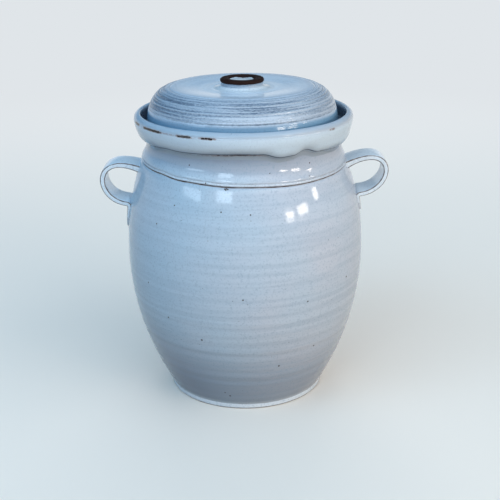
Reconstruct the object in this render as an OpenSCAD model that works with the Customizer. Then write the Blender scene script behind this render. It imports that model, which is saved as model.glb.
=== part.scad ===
// Water-sealed fermentation crock in hand-thrown stoneware. The jar carries a moat ring round its mouth
// and two pulled strap handles. The domed lid stands in the moat, and two half-moon stones inside hold
// the food under the brine. Millimetres, +Z up, origin in the middle of the foot.

/* [Jar] */
// Radius of the foot on the table
foot_r = 73.5; // [68:0.5:80]
// Height of the upright band of the foot
foot_h = 5; // [3:0.5:8]
// Width of the ring that the foot stands on
foot_ring_w = 15; // [8:1:25]
// Depth of the turned hollow inside that ring
foot_hollow = 1.5; // [0.5:0.5:4]
// Bevel along the foot's lower edge
foot_bevel = 1; // [0.5:0.25:2]
// Largest radius of the belly
belly_r = 110; // [106:0.5:118]
// Height of the widest place of the belly
belly_z = 138; // [125:1:150]
// How full the belly is below its widest place
lower_fullness = 2.05; // [1.8:0.05:2.4]
// How full the belly is above its widest place
upper_fullness = 2.35; // [1.9:0.05:2.8]
// Radius of the shoulder at the turned groove
shoulder_r = 94; // [91:0.5:98]
// Height of the turned groove
shoulder_z = 219; // [210:1:230]
// Depth of the turned groove
groove_d = 1.2; // [0.6:0.1:2]
// Width of the turned groove
groove_w = 2.4; // [1.6:0.2:3]
// Height of the turned bead above the groove
bead_h = 4.2; // [3:0.2:6]
// Depth of the fine line above the bead
bead_line_d = 0.5; // [0.2:0.1:1]
// Radius of the neck at its narrowest
neck_r = 89; // [86:0.5:90.5]
// Height from the groove to the narrowest place of the neck
neck_sweep = 18; // [14:1:22]
// Height from the groove to the seat of the moat ring
neck_h = 26.5; // [24:0.5:34]
// Thickness of the thrown wall
wall = 7; // [5:0.5:9]
// Thickness of the floor
floor_t = 9; // [6:0.5:14]
// Radius of the curve between the floor and the wall
floor_fillet = 10; // [4:1:16]

/* [Mouth and moat] */
// Inside radius of the mouth
mouth_r = 68; // [62:0.5:72]
// Thickness of the mouth collar
collar_t = 7; // [5:0.5:9]
// Height of the mouth collar above the seat of the moat ring
collar_h = 24.5; // [20:0.5:30]
// Room for slip between the moat ring and the collar
slip_gap = 0.1; // [0.05:0.05:0.3]
// Thickness of the moat floor
moat_floor_t = 6; // [4:0.5:8]
// Curve between the moat floor and the rim wall
moat_fillet = 5; // [2:0.5:6]
// Water between the collar and the lid
inner_water = 6; // [5:0.5:9]
// Water between the lid and the rim
outer_water = 6.5; // [5.5:0.5:10]
// Thickness of the rim
rim_t = 6; // [4.5:0.5:8]
// Height of the rim's crisp edge above the seat of the moat ring
rim_edge_h = 16; // [13:0.5:22]
// Rise of the lip's crest above that edge
lip_h = 5; // [3:0.5:7]
// Rounding of the lip's crest on the moat side
lip_round = 1.5; // [0.5:0.25:2]

/* [Lid] */
// Thickness of the lid
lid_t = 6; // [4.5:0.5:8]
// Height of the lid's upright skirt
skirt_h = 4; // [3:0.5:8]
// Height of the lid's top above the mouth collar
lid_rise = 18.5; // [17:0.5:26]
// Radius at which the lid's top breaks over into its shoulder
lid_flat_r = 62; // [50:1:66]
// Depth of the dish in the lid's top, round the knob
lid_dish = 2; // [0.5:0.25:3]
// Squareness of the lid's shoulder, where 2 is an ellipse
lid_squareness = 2.25; // [2:0.05:2.8]
// Radius of the two gas notches in the skirt's lower edge
notch_r = 3; // [2:0.5:4]

/* [Knob] */
// Outer radius of the knob's ring
knob_r = 20; // [19.5:0.25:24]
// Height of the knob above the dish in the lid
knob_h = 9.5; // [7.5:0.5:14]
// Height of the knob's waist above the dish in the lid
knob_waist_h = 4; // [3:0.5:5]
// Height of the rounded top of the knob's ring
knob_round_h = 1; // [0.6:0.1:2]
// Radius of the knob's waist
knob_waist_r = 19; // [16:0.5:19.5]
// Radius where the knob's foot runs out on the lid
knob_base_r = 27; // [22:0.5:34]
// Inside radius of the knob's ring
knob_hollow_r = 12.5; // [10:0.5:15]
// Radius of the floor of the knob's hollow
knob_floor_r = 8; // [4:0.5:9.5]
// Depth of the knob's hollow
knob_hollow_d = 2; // [2:0.5:6]

/* [Handles] */
// Reach of the handle loops beyond the belly's widest place
handle_reach = 22; // [16:0.5:30]
// Height of the left loop from its upper root to its lower root
left_handle_h = 29.5; // [26:0.5:40]
// Height of the right loop from its upper root to its lower root
right_handle_h = 25; // [22:0.5:36]
// How steeply the left strap springs up from its upper root
left_spring = 24.5; // [16:0.5:28]
// How steeply the right strap springs up from its upper root
right_spring = 29; // [16:0.5:32]
// How far both straps still sink on their way in to the lower root
strap_sag = 3.5; // [0:0.5:8]
// Width of the strap at the middle of the loop
strap_w = 28; // [20:1:34]
// Extra width of the strap where it is pressed onto the jar
root_flare = 5; // [0:0.5:10]
// Thickness of the strap
strap_t = 4.5; // [3.5:0.5:6]
// Extra thickness of the strap at its upper root
root_swell = 4; // [0:0.5:8]
// Thickness of the thumbed-out end of the tail
tail_t = 1.2; // [0.8:0.1:2]
// Length of the tail that is thumbed down the belly
tail_h = 18; // [12:1:30]
// Width of the very end of the tongue-shaped tail
tail_end_w = 8; // [4:1:14]
// Height of the left handle's upper root above the groove
left_root_rise = -7; // [-12:0.5:0]
// Height of the right handle's upper root above the groove
right_root_rise = -4.5; // [-12:0.5:0]

/* [Weight stones] */
// Radius of the pair of stones
stone_r = 82; // [78:0.5:90]
// Thickness of the stones
stone_t = 22; // [14:1:30]
// Height of the bevel that seats on the jar's narrowing wall
stone_bevel_h = 6; // [3:0.5:10]
// Rounding of the stones' upper edge
stone_round = 4; // [1:0.5:6]
// Gap between the straight edges of the two stones
stone_gap = 3; // [2:0.5:6]
// Radius of the finger hole that the pair leaves in the middle
finger_r = 13; // [10:0.5:18]
// Play between the stones and the wall they seat on
stone_play = 0.3; // [0.2:0.05:0.6]

/* [Hidden] */
$fn = 144;

// Steps along the belly, along an easing curve and round a rounded edge
belly_steps = 30;
ease_steps = 12;
arc_steps = 10;
// Rings along a handle's loop and tail, and points round its section
loop_steps = 22;
tail_steps = 10;
section_points = 16;
// Squareness of the strap's section, and how soon the swelling of its root dies away
strap_squareness = 3;
root_swell_power = 8;
// Height of the thin edge where the knob's foot runs out
knob_edge_h = 0.5;
// Angle at which the lip's crest leaves the rim's crisp edge
lip_start = 20;
// Depth of the handles' upper roots inside the shoulder
root_depth = 5;
// Something past a face, so that a cut goes right through
over = 1;

collar_r = mouth_r + collar_t;
lid_in_r = collar_r + inner_water;
lid_r = lid_in_r + lid_t;
rim_in_r = lid_r + outer_water;
rim_r = rim_in_r + rim_t;

bead_z = shoulder_z + bead_h;
seat_z = shoulder_z + neck_h;
collar_z = seat_z + collar_h;
moat_z = seat_z + moat_floor_t;
edge_z = seat_z + rim_edge_h;
spring_z = moat_z + skirt_h;
lid_z = collar_z + lid_rise;
dish_z = lid_z - lid_dish;
knob_z = dish_z + knob_h;

// Half a wave from 1 down to 0 as u goes from 0 to 1
function ease(u) = (1 + cos(180 * min(1, u))) / 2;

// Points on an elliptic arc about [x, z], with half axes a and b, from angle t0 to t1
function arc(x, z, a, b, t0, t1) =
    [for (i = [0:arc_steps]) let (t = t0 + (t1 - t0) * i / arc_steps) [x + a * cos(t), z + b * sin(t)]];

// Points on a quarter of a squared-off ellipse, from its side to its top
function shoulder_arc(x, z, a, b, n) =
    [for (i = [0:arc_steps]) let (t = 90 * i / arc_steps)
        [x + a * pow(cos(t), 2 / n), z + b * pow(sin(t), 2 / n)]];

function reverse(points) = [for (i = [len(points) - 1:-1:0]) points[i]];

// Radius of the jar's outside, and of its inside, at height z
function belly_at(z) = z < belly_z
    ? belly_r - (belly_r - foot_r) * pow((belly_z - z) / (belly_z - foot_h), lower_fullness)
    : belly_r - (belly_r - shoulder_r) * pow((z - belly_z) / (shoulder_z - belly_z), upper_fullness);
function neck_at(z) = neck_r + (shoulder_r - neck_r) * ease((z - shoulder_z) / neck_sweep);
function throat_at(z) = mouth_r + (shoulder_r - wall - mouth_r) * ease((z - shoulder_z) / neck_h);

// Height below the widest place at which the jar's outside has radius r
function height_at(r) =
    belly_z - (belly_z - foot_h) * pow((belly_r - r) / (belly_r - foot_r), 1 / lower_fullness);

function steps(z0, z1, n) = [for (i = [0:n]) z0 + (z1 - z0) * i / n];

// The jar's outside, from the foot's hollow up to the seat of the moat ring
function jar_outside() = concat(
    [[foot_r - foot_ring_w, foot_hollow], [foot_r - foot_ring_w + foot_hollow, 0],
     [foot_r - foot_bevel, 0], [foot_r, foot_bevel]],
    [for (z = steps(foot_h, shoulder_z - groove_w / 2, belly_steps)) [belly_at(z), z]],
    [[shoulder_r - groove_d, shoulder_z],
     [neck_at(shoulder_z + groove_w / 2), shoulder_z + groove_w / 2],
     [neck_at(bead_z - bead_line_d), bead_z - bead_line_d],
     [neck_at(bead_z) - bead_line_d, bead_z]],
    [for (z = steps(bead_z + bead_line_d, seat_z, ease_steps)) [neck_at(z), z]]);

// The mouth collar and the jar's inside, from the seat of the moat ring down to the floor
function jar_inside() = let (bend_z = floor_t + floor_fillet) concat(
    [[collar_r, seat_z]],
    arc(mouth_r + collar_t / 2, collar_z - collar_t / 2, collar_t / 2, collar_t / 2, 0, 180),
    [for (z = steps(seat_z, shoulder_z, ease_steps)) [throat_at(z), z]],
    [for (z = steps(shoulder_z, bend_z, belly_steps)) if (z < shoulder_z) [belly_at(z) - wall, z]],
    arc(belly_at(bend_z) - wall - floor_fillet, bend_z, floor_fillet, floor_fillet, 0, -90));

module crock_jar() {
    color("aliceblue")
        rotate_extrude()
            polygon(concat([[0, foot_hollow]], jar_outside(), jar_inside(), [[0, floor_t]]));
}

// Thrown ring with its own floor, luted over the mouth collar onto the neck
module moat_ring() {
    bore_r = collar_r + slip_gap;
    crest_r = rim_in_r + lip_round;
    crest_z = edge_z + lip_h;
    color("lavender")
        rotate_extrude()
            polygon(concat(
                [[bore_r, seat_z]],
                arc(neck_r, edge_z, rim_r - neck_r, edge_z - seat_z, -90, 0),
                arc(crest_r, edge_z, rim_r - crest_r, lip_h, lip_start, 90),
                arc(crest_r, crest_z - lip_round, lip_round, lip_round, 90, 180),
                arc(rim_in_r - moat_fillet, moat_z + moat_fillet, moat_fillet, moat_fillet, 0, -90),
                [[bore_r, moat_z]]));
}

function bezier(p, t) =
    pow(1 - t, 3) * p[0] + 3 * t * pow(1 - t, 2) * p[1] + 3 * t * t * (1 - t) * p[2] + pow(t, 3) * p[3];

// Middle line of a strap handle in the XZ plane: the loop, then the tail thumbed down the belly
function strap_line(root_z, h, spring) =
    let (foot_z = root_z - h,
         land = [belly_at(foot_z) + strap_t / 2, foot_z],
         root = [shoulder_r - root_depth, root_z],
         out_x = belly_r + handle_reach - strap_t / 2,
         bulge_x = (8 * out_x - root.x - land.x) / 6,
         high = [bulge_x, root_z + spring],
         low = [bulge_x, foot_z + strap_sag],
         tip = [belly_at(foot_z - tail_h) + tail_t / 4, foot_z - tail_h],
         bend_z = foot_z - tail_h / 4,
         loop = [root, high, low, land],
         tail = [land, land + (land - low) / 8, [belly_at(bend_z) + tail_t / 2, bend_z], tip])
    concat([for (i = [0:loop_steps]) bezier(loop, i / loop_steps)],
           [for (i = [1:tail_steps]) bezier(tail, i / tail_steps)]);

// Signed power that squares off a circle's sine or cosine
function squared(v) = sign(v) * pow(abs(v), 2 / strap_squareness);

// A pulled strap swept along its middle line, wider at its roots and thumbed thin along its tail
module strap(line) {
    last = len(line) - 1;
    n = section_points;
    ring = function (i)
        let (ahead = line[min(last, i + 1)] - line[max(0, i - 1)],
             across = [-ahead.y, ahead.x] / norm(ahead),
             on_loop = min(1, i / loop_steps),
             on_tail = max(0, (i - loop_steps) / tail_steps),
             full_w = strap_w + root_flare * pow(2 * on_loop - 1, 2),
             w = tail_end_w + (full_w - tail_end_w) * sqrt(1 - pow(on_tail, 2)),
             t = tail_t + (strap_t - tail_t) * pow(1 - on_tail, 2)
                 + root_swell * pow(1 - on_loop, root_swell_power))
        [for (k = [0:n - 1]) let (a = 360 * k / n, d = t / 2 * squared(sin(a)))
            [line[i].x + across.x * d, w / 2 * squared(cos(a)), line[i].y + across.y * d]];
    sides = [for (i = [0:last - 1]) for (k = [0:n - 1]) for (half = [0:1])
        let (a = i * n + k, b = i * n + (k + 1) % n)
        half == 0 ? [a, b, b + n] : [a, b + n, a + n]];
    ends = [[for (k = [n - 1:-1:0]) k], [for (k = [0:n - 1]) last * n + k]];
    polyhedron([for (i = [0:last]) each ring(i)], concat(sides, ends), convexity = 4);
}

module handle(root_rise, h, spring) {
    difference() {
        strap(strap_line(shoulder_z + root_rise, h, spring));
        rotate_extrude()
            polygon(concat([[0, 0]], jar_outside(), [[0, seat_z]]));
    }
}

module left_handle() {
    color("lightsteelblue")
        mirror([1, 0, 0])
            handle(left_root_rise, left_handle_h, left_spring);
}

module right_handle() {
    color("lightsteelblue")
        handle(right_root_rise, right_handle_h, right_spring);
}

// Domed lid whose skirt stands on the moat floor, with two gas notches
module lid() {
    roof_z = dish_z - lid_t;
    color("white")
        difference() {
            rotate_extrude()
                polygon(concat(
                    [[lid_in_r, moat_z], [lid_r, moat_z]],
                    shoulder_arc(lid_flat_r, spring_z, lid_r - lid_flat_r, lid_z - spring_z, lid_squareness),
                    [for (r = steps(lid_flat_r, knob_base_r, ease_steps))
                        [r, lid_z - lid_dish * ease((r - knob_base_r) / (lid_flat_r - knob_base_r))]],
                    [[0, dish_z], [0, roof_z]],
                    reverse(shoulder_arc(lid_flat_r, spring_z, lid_in_r - lid_flat_r, roof_z - spring_z,
                                         lid_squareness))));
            for (turn = [45, 225])
                rotate([0, 0, turn])
                    translate([lid_in_r - over, 0, moat_z])
                        rotate([0, 90, 0])
                            cylinder(r = notch_r, h = lid_t + 2 * over);
        }
}

// Hollow ring knob on a flared foot
module lid_knob() {
    edge_top = dish_z + knob_edge_h;
    waist_z = dish_z + knob_waist_h;
    ring_w = knob_r - knob_hollow_r;
    hollow_z = knob_z - knob_hollow_d;
    color("saddlebrown")
        rotate_extrude()
            polygon(concat(
                [[0, dish_z], [knob_base_r, dish_z]],
                arc(knob_base_r, waist_z, knob_base_r - knob_waist_r, waist_z - edge_top, 270, 180),
                arc(knob_r - ring_w / 2, knob_z - knob_round_h, ring_w / 2, knob_round_h, 0, 180),
                [[knob_floor_r, hollow_z], [0, hollow_z]]));
}

// One half of the pair of stones, on the side of X that side gives
module weight_stone(side) {
    bevel_z = height_at(stone_r + stone_play + wall);
    bed_z = bevel_z - stone_bevel_h;
    top_z = bed_z + stone_t;
    size = 2 * (stone_r + over);
    color("gainsboro")
        difference() {
            rotate_extrude()
                polygon(concat(
                    [[0, bed_z], [belly_at(bed_z) - wall - stone_play, bed_z], [stone_r, bevel_z]],
                    arc(stone_r - stone_round, top_z - stone_round, stone_round, stone_round, 0, 90),
                    [[0, top_z]]));
            translate([side * (stone_gap / 2 - size / 2) - size / 2, -size / 2, bed_z - over])
                cube([size, size, stone_t + 2 * over]);
            translate([0, 0, bed_z - over])
                cylinder(r = finger_r, h = stone_t + 2 * over);
        }
}

module left_weight_stone() {
    weight_stone(-1);
}

module right_weight_stone() {
    weight_stone(1);
}

crock_jar();
moat_ring();
left_handle();
right_handle();
lid();
lid_knob();
left_weight_stone();
right_weight_stone();
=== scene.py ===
"""Looks of a hand-thrown fermentation crock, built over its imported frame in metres."""

import logging
import math
from collections.abc import Callable
from dataclasses import dataclass
from enum import Enum
from typing import Any

import bpy
from mathutils import Matrix, Vector


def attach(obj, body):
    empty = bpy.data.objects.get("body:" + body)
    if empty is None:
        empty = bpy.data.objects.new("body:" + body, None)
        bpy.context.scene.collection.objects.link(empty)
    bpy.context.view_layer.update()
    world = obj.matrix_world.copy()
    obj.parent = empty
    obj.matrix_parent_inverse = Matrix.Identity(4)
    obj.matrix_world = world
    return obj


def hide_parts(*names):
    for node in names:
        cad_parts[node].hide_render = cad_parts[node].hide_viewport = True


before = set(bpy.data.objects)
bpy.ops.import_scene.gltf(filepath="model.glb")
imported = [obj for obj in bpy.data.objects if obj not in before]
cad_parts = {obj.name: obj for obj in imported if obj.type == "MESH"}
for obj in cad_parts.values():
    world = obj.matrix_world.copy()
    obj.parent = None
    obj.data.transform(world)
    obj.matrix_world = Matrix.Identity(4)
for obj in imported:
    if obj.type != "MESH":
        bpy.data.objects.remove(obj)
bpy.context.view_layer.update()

MM = 0.001
# How far the loose lid sits from the middle of the moat, in millimetres
OFF_CENTRE = (-0.9, 0.0, 0.0)
# Points closer than this are welded, in millimetres
WELD = 0.01
# Edges that turn by more than this stay sharp, in degrees
SHARP_EDGE = 40

# Radius and height of a section's points, a value at each point of a piece, and angles with their values
Profile = list[tuple[float, float]]
Field = Callable[[Vector], float]
Stops = tuple[tuple[float, float], ...]

log = logging.getLogger("crock")


class Body(Enum):
    """Bodies of the frame that the pieces ride on."""

    CROCK = "crock"
    LID = "lid_and_knob"
    LEFT_STONE = "left_stone"
    RIGHT_STONE = "right_stone"


class Slot(Enum):
    """Material slots of the record."""

    WHITE_GLAZE = "white_glaze"
    LID_GLAZE = "lid_glaze"
    IRON_CLAY = "iron_clay"
    BARE_STONEWARE = "bare_stoneware"


class Mark(Enum):
    """Point attributes that tell a glaze where it breaks, dries out, pools, thins out or stops, and where
    painted light and shade are laid.
    """

    IRON = "iron"
    DRY = "dry"
    POOL = "pool"
    FAINT = "faint"
    BARE = "bare"


class Way(Enum):
    """Directions in which clay is pushed."""

    UP = "Z"
    OUT = "NORMAL"


def rise(a: float, b: float, x: float) -> float:
    """Rises smoothly from 0 at a to 1 at b."""
    u = min(1.0, max(0.0, (x - a) / (b - a)))
    return u * u * (3 - 2 * u)


def ease(u: float) -> float:
    """Half a wave, from 1 at 0 down to 0 at 1 and beyond."""
    return (1 + math.cos(math.pi * min(1.0, max(0.0, u)))) / 2


def hump(x: float, middle: float, width: float) -> float:
    """A bell that is 1 at the middle and dies away over the width."""
    return math.exp(-(((x - middle) / width) ** 2))


def span(a: float, b: float, count: int) -> list[float]:
    """Evenly spaced values from a to b, both ends included."""
    return [a + (b - a) * i / count for i in range(count + 1)]


def polar(p: Vector) -> tuple[float, float, float]:
    """Radius in millimetres, angle in degrees and height in millimetres of a point."""
    return math.hypot(p.x, p.y) / MM, math.degrees(math.atan2(p.y, p.x)), p.z / MM


def round_the_pot(stops: Stops, angle: float) -> float:
    """Reads a value that changes round the pot.

    Args:
        stops: Angles in degrees, rising, each with its value.
        angle: The angle to read at, from -180 to 180 degrees.

    Returns:
        The value, eased between the two nearest stops.
    """
    closed = [*stops, (stops[0][0] + 360, stops[0][1])]
    turned = angle if angle >= closed[0][0] else angle + 360
    for (a, low), (b, high) in zip(closed, closed[1:]):
        if a <= turned <= b:
            return low + (high - low) * (1 - ease((turned - a) / (b - a)))
    return closed[0][1]


def linear(code: str) -> tuple[float, float, float, float]:
    """Turns an sRGB hex value into a linear colour.

    Args:
        code: The hex value, with its leading sign.

    Returns:
        Red, green, blue and full alpha.
    """
    parts = [int(code[i : i + 2], 16) / 255 for i in (1, 3, 5)]
    red, green, blue = (c / 12.92 if c <= 0.04045 else ((c + 0.055) / 1.055) ** 2.4 for c in parts)
    return red, green, blue, 1.0


def add_node(tree: bpy.types.NodeTree, kind: str, inputs: dict[Any, Any], out: int | str = 0,
             **settings: Any) -> bpy.types.NodeSocket | None:
    """Adds one node to a tree.

    Sockets go by number where their names repeat. A colour Mix takes its factor at 0 and its colours at 6
    and 7, and gives its result at 2. A Map Range takes its value at 0, the range that it reads at 1 and 2,
    and the range that it gives at 3 and 4.

    Args:
        tree: The node tree that gets the node.
        kind: Blender's name of the node type.
        inputs: Socket names or numbers, each with a value or a socket to link from.
        out: Name or number of the output that is wanted.
        **settings: The node's own options.

    Returns:
        The wanted output, or nothing for a node that has none.
    """
    made = tree.nodes.new(kind)
    for name, value in settings.items():
        setattr(made, name, value)
    for key, value in inputs.items():
        if isinstance(value, bpy.types.NodeSocket):
            tree.links.new(value, made.inputs[key])
        else:
            made.inputs[key].default_value = value
    return made.outputs[out] if made.outputs else None


class Bench:
    """Work on one piece at a time with Blender's own tools."""

    @staticmethod
    def clear() -> None:
        """Leaves edit mode and deselects everything."""
        if bpy.context.mode != "OBJECT":
            bpy.ops.object.mode_set(mode="OBJECT")
        bpy.ops.object.select_all(action="DESELECT")

    @staticmethod
    def take(piece: bpy.types.Object) -> None:
        """Makes a piece the only selected and active object.

        Args:
            piece: The piece to work on.
        """
        Bench.clear()
        piece.select_set(True)
        bpy.context.view_layer.objects.active = piece

    @staticmethod
    def draw(name: str, points: list[Vector]) -> bpy.types.Object:
        """Draws a chain of points as the start of a piece and leaves it in edit mode, all selected.

        Args:
            name: The piece's name.
            points: The chain's points in metres.

        Returns:
            The new object.
        """
        Bench.clear()
        bpy.ops.mesh.primitive_plane_add(size=MM)
        piece = bpy.context.object
        piece.name = piece.data.name = name
        bpy.ops.object.mode_set(mode="EDIT")
        bpy.ops.mesh.select_all(action="SELECT")
        bpy.ops.mesh.merge(type="CENTER")
        bpy.ops.transform.translate(value=points[0])
        for here, there in zip(points, points[1:]):
            bpy.ops.mesh.extrude_vertices_move(TRANSFORM_OT_translate={"value": there - here})
        bpy.ops.mesh.select_all(action="SELECT")
        return piece

    @staticmethod
    def apply(piece: bpy.types.Object, kind: str, **settings: Any) -> None:
        """Adds a modifier to a piece and applies it.

        Args:
            piece: The piece to change.
            kind: Blender's name of the modifier type.
            **settings: The modifier's own options.
        """
        Bench.take(piece)
        modifier = piece.modifiers.new(kind.lower(), kind)
        for name, value in settings.items():
            setattr(modifier, name, value)
        bpy.ops.object.modifier_apply(modifier=modifier.name)

    @staticmethod
    def throw(name: str, profile: Profile, steps: int = 96) -> bpy.types.Object:
        """Draws a profile point by point and spins it round the wheel's axis.

        Args:
            name: The piece's name.
            profile: Radius and height of each point in millimetres.
            steps: Steps of the spin.

        Returns:
            The thrown piece, merged and with its faces outwards.
        """
        piece = Bench.draw(name, [Vector((r * MM, 0, z * MM)) for r, z in profile])
        bpy.ops.mesh.spin(steps=steps, angle=math.tau, center=(0, 0, 0), axis=(0, 0, 1))
        bpy.ops.mesh.select_all(action="SELECT")
        bpy.ops.mesh.remove_doubles(threshold=WELD * MM)
        bpy.ops.mesh.normals_make_consistent(inside=False)
        bpy.ops.object.mode_set(mode="OBJECT")
        return piece

    @staticmethod
    def refine(piece: bpy.types.Object) -> None:
        """Subdivides a piece once, smoothly."""
        Bench.apply(piece, "SUBSURF", levels=1, render_levels=1)

    @staticmethod
    def press(piece: bpy.types.Object, field: Field, way: Way) -> None:
        """Pushes the clay of a piece where a field says.

        Args:
            piece: The piece to change.
            field: Gives the push in millimetres at each point.
            way: The direction of the push.
        """
        pushes = [field(v.co) for v in piece.data.vertices]
        for sign in (1, -1):
            most = max(sign * push for push in pushes)
            if most <= 0:
                continue
            group = piece.vertex_groups.new(name="press")
            for index, push in enumerate(pushes):
                if sign * push > 0:
                    group.add([index], sign * push / most, "REPLACE")
            Bench.apply(piece, "DISPLACE", direction=way.value, mid_level=0.0, strength=sign * most * MM,
                        vertex_group=group.name)
            piece.vertex_groups.remove(piece.vertex_groups["press"])

    @staticmethod
    def unevenness(piece: bpy.types.Object, size: float, depth: float, hold: Field | None = None,
                   level: float = 0.5) -> None:
        """Gives a piece the soft unevenness of hand work.

        Args:
            piece: The piece to change.
            size: Size of the dents and swellings in millimetres.
            depth: Full depth between them in millimetres.
            hold: Share of the unevenness at each point, all of it if left out.
            level: Where the old surface lies between them, 1 if all of it goes inwards.
        """
        texture = bpy.data.textures.new("hand", "CLOUDS")
        texture.noise_scale = size * MM
        texture.noise_depth = 1
        settings: dict[str, Any] = {"texture": texture, "texture_coords": "LOCAL", "mid_level": level}
        if hold is not None:
            group = piece.vertex_groups.new(name="hold")
            for v in piece.data.vertices:
                group.add([v.index], hold(v.co), "REPLACE")
            settings["vertex_group"] = group.name
        Bench.apply(piece, "DISPLACE", strength=depth * MM, **settings)
        if hold is not None:
            piece.vertex_groups.remove(piece.vertex_groups["hold"])
        bpy.data.textures.remove(texture)

    @staticmethod
    def shift(piece: bpy.types.Object, way: tuple[float, float, float]) -> None:
        """Moves all of a piece's clay and leaves its origin where it is.

        Args:
            piece: The piece to move.
            way: How far it moves along each axis, in millimetres.
        """
        Bench.take(piece)
        bpy.ops.object.mode_set(mode="EDIT")
        bpy.ops.mesh.select_all(action="SELECT")
        bpy.ops.transform.translate(value=Vector(way) * MM)
        bpy.ops.object.mode_set(mode="OBJECT")

    @staticmethod
    def mark(piece: bpy.types.Object, mark: Mark, field: Field) -> None:
        """Writes one of a glaze's marks on every point of a piece.

        Args:
            piece: The piece to mark.
            mark: Which mark is written.
            field: Gives the mark's strength at each point, from 0 to 1.
        """
        layer = piece.data.attributes.new(mark.value, "FLOAT", "POINT")
        layer.data.foreach_set("value", [min(1.0, max(0.0, field(v.co))) for v in piece.data.vertices])

    @staticmethod
    def hand_over(piece: bpy.types.Object, body: Body, node: str, slot: Slot,
                  material: bpy.types.Material) -> None:
        """Smooths and paints a finished piece and ties it to the frame.

        Args:
            piece: The finished piece.
            body: The body that it rides on.
            node: The CAD node that it stands for.
            slot: The record's material slot.
            material: Its finish.
        """
        Bench.take(piece)
        bpy.ops.object.shade_smooth_by_angle(angle=math.radians(SHARP_EDGE))
        piece.data.materials.clear()
        piece.data.materials.append(material)
        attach(piece, body.value)
        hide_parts(node)
        log.info("%s: %d faces, stands for %s on %s", piece.name, len(piece.data.polygons), node, body.value)


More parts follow.
